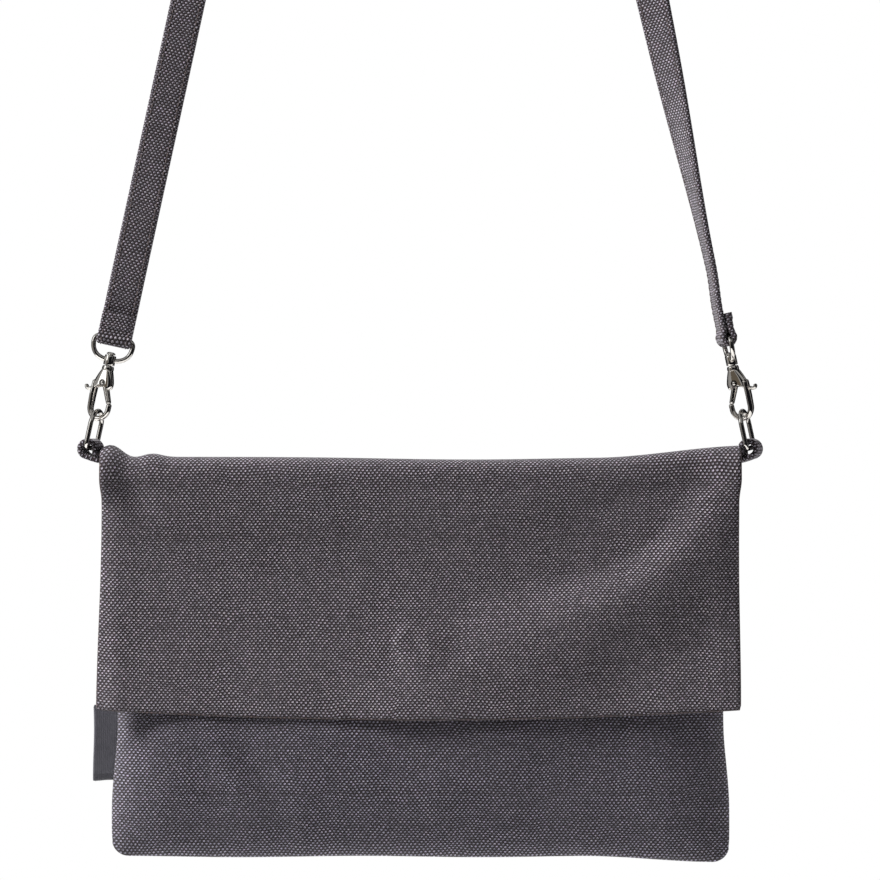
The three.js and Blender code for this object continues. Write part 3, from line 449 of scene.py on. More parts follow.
def add_bump(tree, surface, height, strength, distance):
    bump = tree.nodes.new("ShaderNodeBump")
    bump.inputs["Strength"].default_value = strength
    bump.inputs["Distance"].default_value = distance
    feed(tree, bump.inputs["Height"], height)
    tree.links.new(bump.outputs[0], surface["Normal"])


CANVAS_WARP = srgb(49, 39, 42)
CANVAS_WEFT = srgb(150, 145, 155)
# Painted shade in the gaps between yarns.
CANVAS_GAP_SHADE = srgb(14, 7, 8)
CANVAS_FADED = srgb(93, 88, 93)
# The turned edge is darker and redder: the warp's brown shows there, with painted shade of the crease under
# the edge.
EDGE_WARP = srgb(50, 38, 39)
EDGE_WEFT_BROWN_AND_SHADE = srgb(88, 72, 72)
EDGE_GAP_SHADE = srgb(22, 13, 15)


def make_canvas(name, warp, weft, gap_shade):
    material, tree, surface = new_material(name)
    yarns = {"Warp Colour": warp, "Weft Colour": weft, "Gap Shade Colour": gap_shade, "Faded Colour": CANVAS_FADED}
    weave = place_group(tree, plain_weave, {"Place": cloth_place(tree), **yarns})
    tree.links.new(weave["Colour"], surface["Base Color"])
    tree.links.new(weave["Roughness"], surface["Roughness"])
    surface["Specular IOR Level"].default_value = 0.25
    surface["Sheen Weight"].default_value = 0.12
    surface["Sheen Roughness"].default_value = 0.6
    add_bump(tree, surface, weave["Height"], 0.55, 0.35 * MM)
    return material


canvas = make_canvas("heathered_canvas", CANVAS_WARP, CANVAS_WEFT, CANVAS_GAP_SHADE)
canvas_edge_brown_and_shade = make_canvas("canvas_turned_edge_brown_and_shade", EDGE_WARP, EDGE_WEFT_BROWN_AND_SHADE, EDGE_GAP_SHADE)

BACK_ROWS = 60
FOLD_ROWS = 30
FOLD_SQUARE = 0.74
FLAP_ROWS = 60
CANVAS_COLUMNS = 161
SHOULDER = (-32 * MM, -3 * MM)
BACK_BELLY = 1.6 * MM
BACK_WAVES = 0.35 * MM
SEAM_ROLL = 1.2 * MM
SEAM_RUN = 5 * MM
FLAP_SWAY = -1.0 * MM
FLAP_FLARE = 0.7 * MM
FLAP_DRAW = 1.1 * MM

# Shares across the canvas length, from its left edge to its right.
across = np.linspace(-1, 1, CANVAS_COLUMNS)


# Up the back, from the pouch's foot to the fold.
def back_rows(radius, back_half, fold_half):
    up = np.linspace(0, 1, BACK_ROWS)[:, None] ** 0.8
    foot = pouch_bottom(across * pouch_half) + (pouch_half - back_half)
    z = foot * (1 - up)
    wide = back_half + (pouch_side(z) - pouch_half)
    wide = wide + (fold_half - wide) * ease(z, *SHOULDER)
    belly = BACK_BELLY * np.sin(math.pi * np.clip(z / pouch_foot, 0, 1)) * (1 - across**4)
    y = radius - belly + BACK_WAVES * slow_waves(across * pouch_half, z, 30 * MM)
    y -= SEAM_ROLL * np.clip(1 - (wide - np.abs(across * wide)) / SEAM_RUN, 0, 1) ** 2
    return np.stack([across * wide, y, z], -1)


# Over the fold, squarer than a half round.
def fold_rows(radius, fold_half, flap_inside, dome):
    turn = np.linspace(0, math.pi, FOLD_ROWS)[1:-1, None]
    x = across * fold_half + 0 * turn
    front = ease(turn, math.pi / 2, math.pi)
    reach = radius + (flap_form(x, 0 * x, dome) - flap_inside) * front
    y = reach * np.sign(np.cos(turn)) * np.abs(np.cos(turn)) ** FOLD_SQUARE
    z = radius * np.sin(turn) ** FOLD_SQUARE + fold_rise(x) * np.sin(turn) ** 0.7
    return np.stack([x, y, z], -1)


# Down the flap to its bowed lower edge.
def flap_rows(radius, fold_half, flap_inset, flap_inside, dome):
    down = np.linspace(0, 1, FLAP_ROWS)[:, None]
    z = (flap_foot + flap_inset + FLAP_BOW * across**2) * down
    wide = fold_half + (flap_half - flap_inset - fold_half) * ease(-z, 2 * MM, 14 * MM)
    drawn_in = ease(-z, 0, 10 * MM) * (1 - ease(-z, 20 * MM, 100 * MM))
    x = across * (wide - FLAP_DRAW * drawn_in) + (FLAP_SWAY + across * FLAP_FLARE) * down
    sewn = np.maximum(ease(down, 0.7, 1), ease(np.abs(across), 0.82, 1))
    y = flap_inside * (1 - 1.3 * sewn) - radius - flap_form(x, z, dome)
    return np.stack([x, y, z], -1)


# Middle points of a cloth that lies inside the canvas by a depth, and their places on the flat cloth.
def canvas_run(inside, back_half, fold_half, flap_inset, flap_inside, dome):
    radius = fold_radius - inside
    back = back_rows(radius, back_half, fold_half)
    fold = fold_rows(radius, fold_half, flap_inside, dome)
    flap = flap_rows(radius, fold_half, flap_inset, flap_inside, dome)
    middle = np.concatenate([back, fold, flap])
    length = length_along(middle)
    flap_top = length[BACK_ROWS + FOLD_ROWS - 2]
    over_fold = flap_top - length[BACK_ROWS - 1]
    behind = np.clip((flap_top - length) / over_fold, 0, 1)
    place_down = flap_top - length - (over_fold - np.median(over_fold)) * behind
    place = np.stack([middle[..., 0], place_down], -1)
    middle[..., 2] += fold_z
    return middle, place


SNAP_DOME = 1.8 * MM
run, run_place = canvas_run(0.0, pouch_half, flap_half, 0.0, 0.0, SNAP_DOME)
canvas_length = make_cloth("canvas_length", run, run_place, canvas_thick, [canvas, canvas_edge_brown_and_shade])
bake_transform(canvas_length)
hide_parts("back_panel", "flap_fold", "flap_canvas")

# Pouch front
# The front panel of the same canvas is sewn to the back down the sides and along the bottom, and turned
# right side out, so its edges are round. It swells and hangs a little full above the bottom seam. Its
# canvas colours are painted cooler and darker than the flap's: painted shade below the flap.

front_low, front_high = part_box("front_panel")
seam_y = front_high.y - canvas_thick / 2
crown_y = front_low.y + canvas_thick / 2
mouth_z = front_high.z - fold_z
SWELL_RUN = 34 * MM
FULLEST = -114 * MM
FRONT_PLEAT = [(-100, -100), (-90, -124), (-74, -150)]
# Painted shade: the same canvas's colours, cooler and darker, for the pouch below the flap.
FRONT_WARP_SHADED = srgb(44, 36, 41)
FRONT_WEFT_SHADED = srgb(136, 133, 148)
FRONT_COLUMNS = 151
FRONT_ROWS = 91

# In mm: how far the front's cloth hangs forward, its unevenness, and the pleat's rise and the dip beside it.
FRONT_SAG = 5.4
FRONT_WAVES = 0.5
PLEAT_RISE = 0.6
PLEAT_DIP = 0.4

PLEAT_WIDTH = 6 * MM
PLEAT_DIP_AWAY = 11 * MM
SNAP_HOLDS = 26 * MM


def swell(distance):
    left = 1 - np.clip(distance / SWELL_RUN, 0, 1)
    return (1 - left**2.3) ** 0.6


def front_run(inset, behind):
    share = np.linspace(-1, 1, FRONT_COLUMNS)
    across = np.sign(share) * (1 - (1 - np.abs(share)) ** 1.5)
    half = pouch_half - inset
    foot = pouch_bottom(across * pouch_half) + inset
    up = np.linspace(0, 1, FRONT_ROWS)[:, None] ** 1.5
    z = foot + (mouth_z - foot) * up
    x = across * (pouch_side(z) - inset)
    from_side = half - np.abs(across * half) + inset
    from_foot = z - foot + inset
    full = swell(from_side) * swell(from_foot)
    flat_x = np.broadcast_to(across * half, z.shape)
    fullest = gauss(z - FULLEST, np.where(z > FULLEST, 20 * MM, 36 * MM))
    wide_part = 1 - 0.35 * ease(flat_x, 20 * MM, 110 * MM) + 0.4 * gauss(flat_x - 25 * MM, 45 * MM)
    sag = FRONT_SAG * fullest * wide_part
    sag += FRONT_WAVES * slow_waves(flat_x, z, 21 * MM) * ease(-z, 104 * MM, 122 * MM)
    to_pleat = from_bent_line(flat_x, z, FRONT_PLEAT)[0]
    dip = PLEAT_DIP * gauss(to_pleat - PLEAT_DIP_AWAY, PLEAT_WIDTH)
    sag += PLEAT_RISE * gauss(to_pleat, PLEAT_WIDTH) - dip
    near_snap = gauss(np.hypot(flat_x - SNAP_PLACE[0], z - SNAP_PLACE[1]), SNAP_HOLDS)
    sag = sag * (1 - near_snap) * MM
    y = seam_y - (seam_y - crown_y + sag) * full + behind
    middle = np.stack([x, y, z + fold_z], -1)[::-1]
    place = np.stack([x, z], -1)[::-1]
    return middle, place


run, run_place = front_run(0.0, 0.0)
shaded_front_canvas = make_canvas("heathered_canvas_front_painted_shade", FRONT_WARP_SHADED, FRONT_WEFT_SHADED, CANVAS_GAP_SHADE)
pouch_front = make_cloth("pouch_front", run, run_place, canvas_thick, [shaded_front_canvas, canvas_edge_brown_and_shade])
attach(pouch_front, "bag")
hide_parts("front_panel")

# Linings
# A pale twill cotton with plain woven stripes lines the back, the fold and the flap in one piece, and the
# pouch's front in another. They are sewn in round the edges, and drawn in at the fold beside the tabs.

lining_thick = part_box("back_lining")[1].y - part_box("back_lining")[0].y
lining_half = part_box("back_lining")[1].x
fold_lining_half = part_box("fold_lining")[1].x
flap_lining_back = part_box("flap_lining")[1].y
TWILL_PITCH = 0.7 * MM
STRIPE_WIDTH = 17 * MM
LINING_GROUND = srgb(226, 228, 236)
LINING_BAND = srgb(196, 196, 202)
LINING_LINE = srgb(212, 140, 190)
LINING_WORN = srgb(170, 170, 180)
# Painted shade in the twill's grooves.
LINING_GROOVE_SHADE = srgb(150, 148, 158)


# Even ribs across a distance, from 0 in the grooves to 1 on their tops.
def make_even_ribs():
    tree, given, made = new_group(
        "even_ribs",
        [("Distance", "NodeSocketFloat"), ("Pitch", "NodeSocketFloat")],
        [("Height", "NodeSocketFloat")],
    )
    turns = calculate(tree, "DIVIDE", given["Distance"], given["Pitch"])
    wave = calculate(tree, "SINE", calculate(tree, "MULTIPLY", turns, 2 * math.pi))
    tree.links.new(calculate(tree, "MULTIPLY_ADD", wave, 0.5, 0.5), made["Height"])
    return tree


even_ribs = make_even_ribs()


def make_lining():
    material, tree, surface = new_material("striped_lining")
    place = cloth_place(tree)
    split = split_xyz(tree, place)
    slant = calculate(tree, "ADD", split[0], split[1])
    rib = place_group(tree, even_ribs, {"Distance": slant, "Pitch": TWILL_PITCH})["Height"]
    stripe = calculate(tree, "PINGPONG", split[0], STRIPE_WIDTH)
    wide = calculate(tree, "GREATER_THAN", stripe, STRIPE_WIDTH * 0.62)
    thin = calculate(tree, "LESS_THAN", stripe, STRIPE_WIDTH * 0.16)
    ground = mix_colours(tree, wide, LINING_GROUND, LINING_BAND)
    striped = mix_colours(tree, thin, ground, LINING_LINE)
    shade = calculate(tree, "MULTIPLY", noise(tree, place, 240, 3.0)["Fac"], 0.22)
    worn = mix_colours(tree, shade, striped, LINING_WORN)
    # The twill's grooves are darkened towards the groove colour: painted shade.
    groove_shade = calculate(tree, "MULTIPLY_ADD", rib, -0.16, 0.16)
    tree.links.new(mix_colours(tree, groove_shade, worn, LINING_GROOVE_SHADE), surface["Base Color"])
    tree.links.new(calculate(tree, "MULTIPLY_ADD", rib, -0.1, 0.72), surface["Roughness"])
    surface["Sheen Weight"].default_value = 0.1
    add_bump(tree, surface, rib, 0.5, 0.15 * MM)
    return material


lining = make_lining()
LINING_CLEAR = 0.3 * MM
FLAP_HEM = 4 * MM
lining_depth = canvas_thick / 2 + LINING_CLEAR + lining_thick / 2
flap_inside = flap_lining_back - lining_thick / 2 + fold_radius - lining_depth
run, run_place = canvas_run(lining_depth, lining_half, fold_lining_half, FLAP_HEM, flap_inside, 0.0)
body_lining = make_cloth("body_lining", run, run_place, lining_thick, [lining])
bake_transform(body_lining)
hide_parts("back_lining", "fold_lining", "flap_lining")

front_lining_inset = pouch_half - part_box("front_lining")[1].x
front_lining_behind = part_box("front_lining")[0].y - front_low.y - canvas_thick / 2 + lining_thick / 2
run, run_place = front_run(front_lining_inset, front_lining_behind)
front_lining = make_cloth("pouch_front_lining", run, run_place, lining_thick, [lining])
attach(front_lining, "bag")
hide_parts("front_lining")

# Magnetic snap
# A stud plate under the flap's lining meets a shell with a ring magnet on the pouch. The plates are pressed
# from sheet and nickel plated, and prongs through the cloth are bent over washers behind it.


# Wear of handled metal: a soft bloom clouds its colour and dulls it, over a fine grain.
def make_metal_wear():
    tree, given, made = new_group(
        "metal_wear",
        [
            ("Place", "NodeSocketVector"),
            ("Clean Colour", "NodeSocketColor"),
            ("Bloom Colour", "NodeSocketColor"),
            ("Clean Roughness", "NodeSocketFloat"),
        ],
        [("Colour", "NodeSocketColor"), ("Roughness", "NodeSocketFloat"), ("Grain", "NodeSocketFloat")],
    )
    cloud = noise(tree, given["Place"], 420, 4.0, 0.6)["Fac"]
    haze = calculate(tree, "MULTIPLY", cloud, 0.35)
    tree.links.new(mix_colours(tree, haze, given["Clean Colour"], given["Bloom Colour"]), made["Colour"])
    rub = calculate(tree, "MULTIPLY_ADD", cloud, 0.06, given["Clean Roughness"])
    tree.links.new(rub, made["Roughness"])
    tree.links.new(noise(tree, given["Place"], 2600, 2.0, 0.6)["Fac"], made["Grain"])
    return tree


metal_wear = make_metal_wear()


def object_place(tree):
    return tree.nodes.new("ShaderNodeTexCoord").outputs["Object"]


def make_metal(name, colour, bloom, rough, grain, metallic=1.0):
    material, tree, surface = new_material(name)
    plate = {"Clean Colour": colour, "Bloom Colour": bloom, "Clean Roughness": rough}
    wear = place_group(tree, metal_wear, {"Place": object_place(tree), **plate})
    tree.links.new(wear["Colour"], surface["Base Color"])
    tree.links.new(wear["Roughness"], surface["Roughness"])
    surface["Metallic"].default_value = metallic
    add_bump(tree, surface, wear["Grain"], grain, 0.02 * MM)
    return material


nickel = make_metal("polished_nickel", (0.64, 0.615, 0.58, 1), (0.50, 0.47, 0.43, 1), 0.03, 0.008)
pressed_nickel = make_metal("pressed_nickel", (0.70, 0.69, 0.67, 1), (0.58, 0.56, 0.53, 1), 0.28, 0.06, 0.6)
ferrite = make_metal("ground_ferrite", (0.06, 0.06, 0.065, 1), (0.11, 0.11, 0.115, 1), 0.45, 0.5)
# A near-black metal for the rings round the rivet heads: painted shade.
shade_ring_nickel = make_metal("painted_shade_nickel", (0.06, 0.055, 0.05, 1), (0.10, 0.09, 0.08, 1), 0.25, 0.1)
spring_wire = make_metal("drawn_spring_wire", (0.52, 0.52, 0.53, 1), (0.40, 0.40, 0.41, 1), 0.25, 0.3)


PRESSED_EDGE = math.radians(38)


def dress_node(name, material):
    mesh = frame["nodes"][name].data
    mesh.materials.clear()
    mesh.materials.append(material)
    smooth_faces(mesh)
    mesh.set_sharp_from_angle(angle=PRESSED_EDGE)


for name in ("stud_washer", "snap_stud", "socket_shell", "socket_base", "socket_washer"):
    dress_node(name, pressed_nickel)
dress_node("socket_magnet", ferrite)

# Rings
# Each is a loop of round nickel-plated wire with a straight bar, which turns in a tab at the fold's end.
# The hook draws it round a little, and the tab gives with it.

WIRE_SIDES = 20
WIRE_STEP = 0.4 * MM
CAST_EDGE = math.radians(42)
RING_WIRE = 2.2 * MM
RING_RISE = 17 * MM
RING_CORNER = 2.4 * MM
RING_YAW = math.radians(19)


# Where a side's hardware hangs: the place of its ring's bar, and the ways across, back and up its line.
def hang_frame(side):
    bar = np.array(joint_places[f"{side}_ring_pivot"])
    up = np.array(joint_axes[f"{side}_hook_swivel"].normalized())
    back = np.array([0.0, 1.0, 0.0])
    return bar, np.cross(back, up), back, up


def height_over_bar(side, joint):
    return (joint_places[f"{side}_{joint}"] - joint_places[f"{side}_ring_pivot"]).length


# Stations along a run of arcs and straights, given as (x, z) lines, at an even step.
def even_path(corners, step, closed=False):
    points = np.concatenate(corners)
    if closed:
        points = np.concatenate([points, points[:1]])
    away = length_along(points)
    stations = np.linspace(0, away[-1], max(int(away[-1] / step), 4) + 1)
    if closed:
        stations = stations[:-1]
    return values_at(stations, away, points)


def arc(x, z, radius_x, radius_z, start, end, steps=24):
    turn = np.radians(np.linspace(start, end, steps))
    return np.stack([x + radius_x * np.cos(turn), z + radius_z * np.sin(turn)], 1)


# An oval tube along a path in the (x, z) plane, with round ends unless it is closed.
def tube(path, half_wide, half_deep, closed=False):
    wide = np.broadcast_to(half_wide, len(path)).astype(float)
    deep = np.broadcast_to(half_deep, len(path)).astype(float)
    if closed:
        run = np.roll(path, -1, 0) - np.roll(path, 1, 0)
    else:
        run = np.gradient(path, axis=0)
    run = unit(run)
    if not closed:
        lean = np.radians([88, 66, 44, 22])
        first = path[:1] - run[:1] * wide[0] * np.sin(lean)[:, None]
        last = path[-1:] + run[-1:] * wide[-1] * np.sin(lean[::-1])[:, None]
        path = np.concatenate([first, path, last])
        rings = len(lean)
        run = np.concatenate([np.repeat(run[:1], rings, 0), run, np.repeat(run[-1:], rings, 0)])
        wide = np.concatenate([wide[0] * np.cos(lean), wide, wide[-1] * np.cos(lean[::-1])])
        deep = np.concatenate([deep[0] * np.cos(lean), deep, deep[-1] * np.cos(lean[::-1])])
    turn = np.linspace(0, 2 * math.pi, WIRE_SIDES, endpoint=False)
    out = wide[:, None] * np.cos(turn)
    x = path[:, :1] + run[:, 1:] * out
    z = path[:, 1:] - run[:, :1] * out
    y = deep[:, None] * np.sin(turn)
    return loft(np.stack([x, y, z], -1), closed)


# Points and faces through rings of points. The ends are filled.
def loft(rings, closed=False):
    count, sides = rings.shape[:2]
    number = np.arange(count * sides).reshape(count, sides)
    ahead = np.roll(number, -1, 0) if closed else number[1:]
    here = number if closed else number[:-1]
    quads = np.stack([here, ahead, np.roll(ahead, -1, 1), np.roll(here, -1, 1)], -1)
    faces = quads.reshape(-1, 4).tolist()
    if not closed:
        faces += [number[0].tolist(), number[-1][::-1].tolist()]
    return rings.reshape(-1, 3), faces


# A turned shape about the z axis, from (radius, z) points.
def lathe(profile, closed=False):
    turn = np.linspace(0, 2 * math.pi, 2 * WIRE_SIDES, endpoint=False)
    radius, z = np.array(profile).T[..., None]
    rings = np.stack(np.broadcast_arrays(radius * np.cos(turn), radius * np.sin(turn), z), -1)
    return loft(rings, closed)


# One mesh of several shells, set in a side's hang frame at a height over the bar and a turn about the line.
def make_hardware(name, shells, side, height, turn, body, nodes, metal=None):
    bar, across, back, up = hang_frame(side)
    points = []
    faces = []
    for shell_points, shell_faces in shells:
        faces += [[corner + len(points) for corner in face] for face in shell_faces]
        points += shell_points.tolist()
    points = np.array(points)
    x = points[:, :1] * math.cos(turn) - points[:, 1:2] * math.sin(turn)
    y = points[:, :1] * math.sin(turn) + points[:, 1:2] * math.cos(turn)
    placed = bar + across * x + back * y + up * (points[:, 2:] + height)
    mesh = bpy.data.meshes.new(name)
    mesh.from_pydata(placed.tolist(), [], faces)
    mesh.materials.append(metal or nickel)
    smooth_faces(mesh)
    mesh.set_sharp_from_angle(angle=CAST_EDGE)
    piece = add_object(name, mesh)
    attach(piece, body)
    if nodes:
        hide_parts(*nodes)


for side in ("left", "right"):
    low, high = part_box(f"{side}_ring")
    half = (high.y - low.y) / 2 - RING_WIRE / 2
    path = even_path(
        [
            arc(half - RING_CORNER, RING_CORNER, RING_CORNER, RING_CORNER, -90, 0),
            arc(0, RING_RISE - half, half, half, 0, 180, 60),
            arc(-half + RING_CORNER, RING_CORNER, RING_CORNER, RING_CORNER, 180, 270),
        ],
        WIRE_STEP,
        closed=True,
    )
    ring = tube(path, RING_WIRE / 2, RING_WIRE / 2, closed=True)
    turn = math.pi / 2 - RING_YAW
    make_hardware(f"{side}_wire_ring", [ring], side, 0.0, turn, f"{side}_ring", [f"{side}_ring"])

# Strap eyes
# Each is a D of round wire cast in one with a bored boss. The strap's end is sewn round its straight bar,
# and the hook's post turns in the boss.

EYE_WIRE = 2.2 * MM
EYE_DEPTH = 10.3 * MM
EYE_CORNER = 2.6 * MM
EYE_HALF = 8.9 * MM
BOSS_RADIUS = 2.6 * MM
BOSS_HALF = 2.3 * MM
BORE_RADIUS = 1.5 * MM
BOSS_SOFT = 0.35 * MM
RIGHT_END_YAW = math.radians(7.6)


# A bent line from one point to another, drawn towards a third.
def bend(start, towards, end, steps=40):
    share = np.linspace(0, 1, steps)[:, None]
    first = np.array(start) * (1 - share) ** 2
    return first + np.array(towards) * 2 * share * (1 - share) + np.array(end) * share**2


# The boss's section, the same above and below its middle, with its bore and its softened edge.
def eye_boss():
    upper = [
        (BOSS_RADIUS, BOSS_HALF - BOSS_SOFT),
        (BOSS_RADIUS - 0.3 * BOSS_SOFT, BOSS_HALF - 0.3 * BOSS_SOFT),
        (BOSS_RADIUS - BOSS_SOFT, BOSS_HALF),
        (BORE_RADIUS, BOSS_HALF),
    ]
    lower = [(radius, -z) for radius, z in upper[::-1]]
    return lathe(lower + upper, closed=True)


for side, turn in (("left", 0.0), ("right", math.pi / 2 + RIGHT_END_YAW)):
    side_foot = EYE_DEPTH - EYE_CORNER
    path = even_path(
        [
            arc(-EYE_HALF + EYE_CORNER, side_foot, EYE_CORNER, EYE_CORNER, 90, 180),
            bend((-EYE_HALF, side_foot), (-EYE_HALF, 0), (0, 0)),
            bend((0, 0), (EYE_HALF, 0), (EYE_HALF, side_foot)),
            arc(EYE_HALF - EYE_CORNER, side_foot, EYE_CORNER, EYE_CORNER, 0, 90),
        ],
        WIRE_STEP,
        closed=True,
    )
    wire = tube(path, EYE_WIRE / 2, EYE_WIRE / 2, closed=True)
    foot = height_over_bar(side, "eye_pivot") - EYE_DEPTH
    shells = [wire, eye_boss()]
    make_hardware(f"{side}_wire_eye", shells, side, foot, turn, f"{side}_eye", [f"{side}_strap_eye"])

# Snap hooks
# Each is a die-cast body: a teardrop head with softened edges runs into one deep arm, which bows round to the
# tip. A post on the head's neck turns in the eye's boss and is headed over. A rivet pins the gate.

PIVOT_HEIGHT = 16.3 * MM
HEAD_FOOT = 13.2 * MM
NECK_HEIGHT = 22.6 * MM
HEAD_DEPTH = 4.8 * MM
HEAD_LEFT = 6.0 * MM
HEAD_RIGHT = 5.0 * MM
HEAD_TAPER = 1.7
HEAD_TUCK = 1.5 * MM
HEAD_SQUARE_X = 0.65
HEAD_SQUARE_Y = 0.85
NECK_HALF = 2.4 * MM
ARCH_RISE = 2.6 * MM
ARCH_WIDTH = 2.6 * MM
ARCH_LEFT = 0.4 * MM
COLLAR_TOP = 24.2 * MM
ARM_TOP = 16 * MM
ARM_FOOT = 10 * MM
ARM_LEAN = 0.15 * MM
BOW_HALF = 4.8 * MM
BOW_MIDDLE = 5.2 * MM
TIP_HEIGHT = 6.6 * MM
POST_PLAY = 0.3 * MM
HOOK_TURN = math.radians(-30)


# The head, as slices from its arched foot to its neck, each a soft-cornered oblong.
def hook_head():
    rings = []
    turn = np.linspace(0, 2 * math.pi, 56, endpoint=False)
    corner_x = np.sign(np.cos(turn)) * np.abs(np.cos(turn)) ** HEAD_SQUARE_X
    corner_y = np.sign(np.sin(turn)) * np.abs(np.sin(turn)) ** HEAD_SQUARE_Y
    for share in np.concatenate([[0, 0.015, 0.05], np.linspace(0.1, 0.9, 18), [0.95, 0.985, 1]]):
        z = HEAD_FOOT + (NECK_HEIGHT - HEAD_FOOT) * share
        narrow = share**HEAD_TAPER
        tuck = HEAD_TUCK * max(0.0, 1 - share / 0.4) ** 2
        left = -HEAD_LEFT * (1 - narrow) - NECK_HALF * narrow
        right = HEAD_RIGHT * (1 - narrow) + NECK_HALF * narrow - tuck
        from_end = min(share, 1 - share) / 0.05
        shrink = 1 - 0.12 * max(0.0, 1 - from_end) ** 2
        deep = HEAD_DEPTH / 2 * (1 - 0.08 * share) * shrink
        half = (right - left) / 2 * shrink
        x = (left + right) / 2 + half * corner_x
        arch = ARCH_RISE * gauss(x + ARCH_LEFT, ARCH_WIDTH) * (1 - share) ** 3
        rings.append(np.stack([x, deep * corner_y, z + arch], -1))
    return loft(np.array(rings))


# The arm and bow, deep at the head and tapering to the tip.
def hook_bow():
    path = even_path(
        [
            np.array([[-BOW_HALF, ARM_TOP], [-BOW_HALF - ARM_LEAN, ARM_FOOT]]),
            arc(0, BOW_MIDDLE, BOW_HALF, BOW_MIDDLE, 180, 350, 60),
            np.array([[BOW_HALF, TIP_HEIGHT]]),
        ],
        WIRE_STEP,
    )
    share = np.linspace(0, 1, len(path))
    deep = (2.25 - 0.9 * ease(share, 0.15, 0.75)) * MM
    wide = (1.3 - 0.15 * ease(share, 0.5, 1.0)) * MM
    return tube(path, wide, deep)


# The collar on the neck, and the post with its headed top, as radii and rises in mm over three heights.
def hook_stem(post_top):
    collar_foot = [(2.2, -0.6), (2.7, -0.2), (2.75, 0.7)]
    collar_edge = [(2.5, -0.1), (1.9, 0), (1.2, 0.2)]
    headed_top = [(1.2, 0), (1.9, 0.02), (2.05, 0.3), (1.8, 0.8), (1.0, 1.1), (0.2, 1.15)]
    parts = ((NECK_HEIGHT, collar_foot), (COLLAR_TOP, collar_edge), (post_top, headed_top))
    return lathe([(radius * MM, height + rise * MM) for height, part in parts for radius, rise in part])


# A shape turned about the gate's pivot, the same on both faces of the head, from radii and rises in mm.
def turned_through_head(outline, closed=False):
    reach = HEAD_DEPTH / 2
    near = [(radius * MM, -reach - rise * MM) for radius, rise in outline]
    far = [(radius * MM, reach + rise * MM) for radius, rise in outline[::-1]]
    points, faces = lathe(near + far, closed)
    return np.stack([points[:, 0], points[:, 2], PIVOT_HEIGHT - points[:, 1]], -1), faces


# The rivet's low round heads stand proud of both faces, each ringed by a thin near-black shell: painted
# shade.
RIVET_HEAD = [(0.1, 0.5), (0.5, 0.45), (0.8, 0.28), (0.9, 0.1), (0.9, 0)]
RIVET_SHADE_RING = [(1.55, 0), (1.45, 0.16), (1.0, 0.16), (0.95, 0)]

for side, half_turn in (("left", 0.0), ("right", math.pi)):
    foot = height_over_bar(side, "gate_open") - PIVOT_HEIGHT
    post_top = height_over_bar(side, "eye_pivot") - EYE_DEPTH + BOSS_HALF + POST_PLAY - foot
    turn = HOOK_TURN + half_turn
    body = f"{side}_hook"
    shells = [hook_head(), hook_bow(), hook_stem(post_top)]
    make_hardware(f"{side}_snap_hook", shells, side, foot, turn, body, [f"{side}_hook"])
    pin = turned_through_head(RIVET_HEAD)
    make_hardware(f"{side}_rivet", [pin], side, foot, turn, body, [f"{side}_gate_pin"])
    # A thin near-black shell round each rivet head: painted shade.
    rivet_shade = turned_through_head(RIVET_SHADE_RING, closed=True)
    make_hardware(f"{side}_rivet_shade_ring", [rivet_shade], side, foot, turn, body, [], shade_ring_nickel)
    dress_node(f"{side}_gate_spring", spring_wire)

# Gates
# Each gate is a flat cast lever on the rivet: one end closes on the bow's tip, and the other comes out behind
# the arm as a small curled thumb piece.

GATE_REACH = 9.1 * MM
GATE_SLANT = math.radians(-63)
GATE_ROOT = (0.9 * MM, PIVOT_HEIGHT - 1.2 * MM)
THUMB_STEP = 0.3 * MM
THUMB_HALVES = (0.8 * MM, 1.3 * MM)

# The thumb piece's line in mm, out under the arm and then up: where each bend starts, is drawn to and ends.
THUMB_BENDS = [((-3.2, 14.9), (-6.4, 12.6), (-8.0, 12.5)), ((-8.0, 12.5), (-9.0, 12.5), (-9.2, 13.5))]

for side, half_turn in (("left", 0.0), ("right", math.pi)):
    foot = height_over_bar(side, "gate_open") - PIVOT_HEIGHT
    end = (GATE_REACH * math.cos(GATE_SLANT), PIVOT_HEIGHT + GATE_REACH * math.sin(GATE_SLANT))
    limb = even_path([np.array([GATE_ROOT, end])], WIRE_STEP)
    share = np.linspace(0, 1, len(limb))
    bar = tube(limb, (1.4 - 0.25 * share) * MM, (1.7 - 0.3 * share) * MM)
    curl, lift = [bend(*points) for points in np.array(THUMB_BENDS) * MM]
    thumb = tube(even_path([curl, lift[1:]], THUMB_STEP), *THUMB_HALVES)
    turn = HOOK_TURN + half_turn
    make_hardware(f"{side}_gate_lever", [bar, thumb], side, foot, turn, f"{side}_gate", [f"{side}_gate"])

# Side label
# A short length of fine ribbed ribbon, folded in half, with its ends caught in the left side seam. It is
# plain, and hangs a little bowed.

label_low, label_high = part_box("side_label")
LABEL_DROP = 3.5 * MM
LABEL_TUCK = 3 * MM
LABEL_BOW = 1.6 * MM
LABEL_THICK = 0.8 * MM
SELVEDGE = 1.5 * MM
RIB_PITCH = 0.85 * MM
RIBBON_DARK = srgb(50, 49, 55)
RIBBON_PALE = srgb(84, 83, 90)
RIBBON_RIB_HIGHLIGHT = srgb(98, 97, 104)
RIBBON_EDGE = srgb(40, 39, 44)


